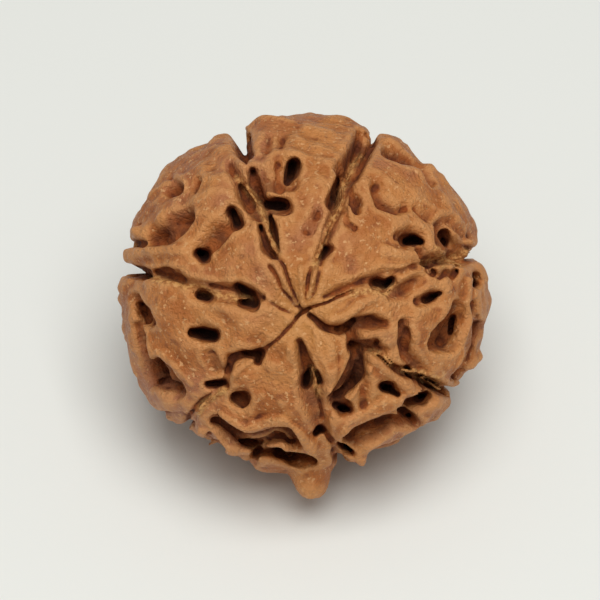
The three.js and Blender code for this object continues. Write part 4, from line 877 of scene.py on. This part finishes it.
class Nodes:
    """Adds shader nodes to a material and links them."""

    MIX_SOCKETS = (6, 7, 2)  # a mix node's two colours among its inputs, and its result among its outputs

    def __init__(self, material):
        material.use_nodes = True
        self.tree = material.node_tree
        self.shader = self.tree.nodes["Principled BSDF"]
        self.place = self.add("ShaderNodeTexCoord").outputs["Object"]

    def add(self, kind, settings=None, **inputs):
        node = self.tree.nodes.new(kind)
        for name, value in (settings or {}).items():
            setattr(node, name, value)
        for name, value in inputs.items():
            self.set(node.inputs[name], value)
        return node

    def set(self, socket, value):
        if isinstance(value, bpy.types.NodeSocket):
            self.tree.links.new(value, socket)
        else:
            socket.default_value = value

    def combine(self, kind, operation, first, second):
        node = self.add(kind, {"operation": operation})
        self.set(node.inputs[0], first)
        self.set(node.inputs[1], second)
        return node.outputs

    def math(self, operation, first, second):
        return self.combine("ShaderNodeMath", operation, first, second)["Value"]

    def mark(self, name):
        return self.add("ShaderNodeAttribute", {"attribute_name": name}).outputs["Fac"]

    def noise(self, name):
        """One of the named noises, from 0 to 1, with lumps about as wide as its pitch."""
        pitch, detail, roughness, shift = NOISES[name]
        place = self.combine("ShaderNodeVectorMath", "ADD", self.place, (shift, shift, shift))["Vector"]
        node = self.add("ShaderNodeTexNoise", Vector=place, Scale=1 / (pitch * MM), Detail=detail)
        self.set(node.inputs["Roughness"], roughness)
        return node.outputs["Fac"]

    def millimetres(self, length):
        return self.math("DIVIDE", length, MM)

    def along(self, axis):
        """How far a point is along an axis of the scene, in millimetres."""
        parts = self.add("ShaderNodeSeparateXYZ", Vector=self.place)
        return self.millimetres(parts.outputs[axis])

    def distance_from(self, place):
        """How far a point is from a place in the scene, in millimetres."""
        distance = self.combine("ShaderNodeVectorMath", "DISTANCE", self.place, place)["Value"]
        return self.millimetres(distance)

    def between(self, value, low, high, start=0.0, end=1.0):
        """A smooth step of a value, from the start at the low end to the end at the high end."""
        node = self.add("ShaderNodeMapRange", {"interpolation_type": "SMOOTHSTEP"})
        numbers = {"Value": value, "From Min": low, "From Max": high, "To Min": start, "To Max": end}
        for name, number in numbers.items():
            self.set(node.inputs[name], number)
        return node.outputs["Result"]

    def layer(self, name, value=None):
        """The share of a layer of the colour, by a value or else by the noise with the layer's name."""
        low, high, share = LAYERS[name]
        if value is None:
            value = self.noise(name)
        return self.between(value, low, high, 0.0, share)

    def mix(self, share, first, second):
        node = self.add("ShaderNodeMix", {"data_type": "RGBA"})
        first_socket, second_socket, result = self.MIX_SOCKETS
        self.set(node.inputs["Factor"], share)
        self.set(node.inputs[first_socket], first)
        self.set(node.inputs[second_socket], second)
        return node.outputs[result]


def linear(part):
    """A part of a colour as it looks on a screen, from 0 to 255, in the renderer's linear values."""
    part = part / 255
    return part / 12.92 if part <= 0.04045 else ((part + 0.055) / 1.055) ** 2.4


def tone(name):
    return (*[linear(part) for part in TONES[name]], 1.0)


def dry_skin(nodes):
    """The colour of the plateaus, in patches, paler round the apex and pinker at the lower left."""
    skin = nodes.mix(nodes.layer("patches"), tone("tan"), tone("orange"))
    skin = nodes.mix(nodes.layer("blotches"), skin, tone("brown"))
    skin = nodes.mix(nodes.layer("flecks"), skin, tone("fleck"))
    apex = tuple(to_scene(on_face(*APEX)[None, :])[0])
    skin = nodes.mix(nodes.layer("apex", nodes.distance_from(apex)), skin, tone("apex"))
    left = nodes.layer("left", nodes.along(0))
    lower = nodes.layer("lower", nodes.along(2))
    pinker = nodes.math("MULTIPLY", nodes.math("MULTIPLY", left, lower), PINK_SHARE)
    skin = nodes.mix(pinker, skin, tone("pink"))
    return nodes.mix(nodes.layer("specks"), skin, tone("speck"))


def skin_material():
    """Worn edges are paler than the plateaus, seam walls straw; low places are red brown and pits dark,
    partly their own stain and partly painted shade.
    """
    material = bpy.data.materials.new("seed_skin")
    nodes = Nodes(material)
    hollow, dip, pale, crevice, valley = [nodes.mark(name) for name in MARKS]

    skin = nodes.mix(nodes.layer("worn", crevice), dry_skin(nodes), tone("worn"))
    # The red brown of low places, by the crowding and the dips, is partly the skin's own stain and partly
    # painted shade
    low = nodes.math("MAXIMUM", nodes.layer("crevice", crevice), nodes.layer("valley", valley))
    low = nodes.math("MAXIMUM", low, nodes.layer("dip", dip))
    stain_and_shade = nodes.mix(nodes.layer("bottoms"), tone("dark bottom"), tone("red bottom"))
    skin = nodes.mix(low, skin, stain_and_shade)
    fibre = nodes.mix(nodes.layer("fibres"), tone("fibre"), tone("pale fibre"))
    skin = nodes.mix(nodes.math("MULTIPLY", pale, FIBRE_SHARE), skin, fibre)
    # The pits' dark colour, by depth below the skin, is partly the skin's own stain and partly painted
    # shade
    skin = nodes.mix(nodes.layer("hollow", hollow), skin, tone("pit"))

    nodes.set(nodes.shader.inputs["Base Color"], skin)
    nodes.set(nodes.shader.inputs["Roughness"], nodes.between(low, 0.0, 1.0, *SKIN_ROUGHNESS))
    nodes.set(nodes.shader.inputs["Specular IOR Level"], SKIN_SPECULAR)
    grain = nodes.math("ADD", nodes.noise("coarse grain"), nodes.noise("fine grain"))
    bump = nodes.add("ShaderNodeBump", Strength=GRAIN_STRENGTH, Distance=GRAIN_HEIGHT * MM, Height=grain)
    nodes.set(nodes.shader.inputs["Normal"], bump.outputs["Normal"])
    return material


def add_floor():
    bpy.ops.mesh.primitive_plane_add(size=FLOOR_SIZE)
    floor = bpy.context.object
    floor.name = "floor"
    surface = bpy.data.materials.new("floor")
    surface.use_nodes = True
    shader = surface.node_tree.nodes["Principled BSDF"]
    shader.inputs["Base Color"].default_value = FLOOR_COLOR
    shader.inputs["Roughness"].default_value = FLOOR_ROUGHNESS
    floor.data.materials.append(surface)


def add_light(name, place, size, power):
    """A square soft light that points at the seed."""
    light = bpy.data.lights.new(name, "AREA")
    light.size = size
    light.energy = power
    lamp = bpy.data.objects.new(name, light)
    bpy.context.scene.collection.objects.link(lamp)
    lamp.location = place
    lamp.rotation_mode = "QUATERNION"
    lamp.rotation_quaternion = (lamp.location - Vector((0, 0, REST_HEIGHT * MM))).to_track_quat("Z", "Y")


def add_surroundings():
    """Even light from the room, and colours shown as they are."""
    scene = bpy.context.scene
    scene.view_settings.view_transform = "Standard"
    scene.world = bpy.data.worlds.new("room")
    scene.world.use_nodes = True
    background = scene.world.node_tree.nodes["Background"]
    background.inputs["Color"].default_value = ROOM_COLOR
    background.inputs["Strength"].default_value = ROOM_STRENGTH


def add_camera():
    """Looks at the seed's face with a long lens, from the front and well above."""
    tilt = math.radians(FACE_TILT)
    back = Vector((0, -math.cos(tilt), math.sin(tilt)))
    up = Vector((0, math.sin(tilt), math.cos(tilt)))
    right = Vector((1, 0, 0))
    lens = bpy.data.cameras.new("camera")
    lens.sensor_width = SENSOR
    lens.lens = SENSOR * CAMERA_DISTANCE / VIEW_WIDTH
    camera = bpy.data.objects.new("camera", lens)
    centre = Vector((0, 0, REST_HEIGHT * MM)) + (up - right) * VIEW_SHIFT
    camera.location = centre + back * CAMERA_DISTANCE
    camera.rotation_mode = "QUATERNION"
    camera.rotation_quaternion = back.to_track_quat("Z", "Y")
    bpy.context.scene.collection.objects.link(camera)
    bpy.context.scene.camera = camera


seed = build_seed()
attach(seed, "root")
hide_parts("rudraksha_seed")
seed.data.materials.append(skin_material())

add_floor()
add_light("key", KEY_PLACE, KEY_SIZE, KEY_POWER)
add_surroundings()
add_camera()
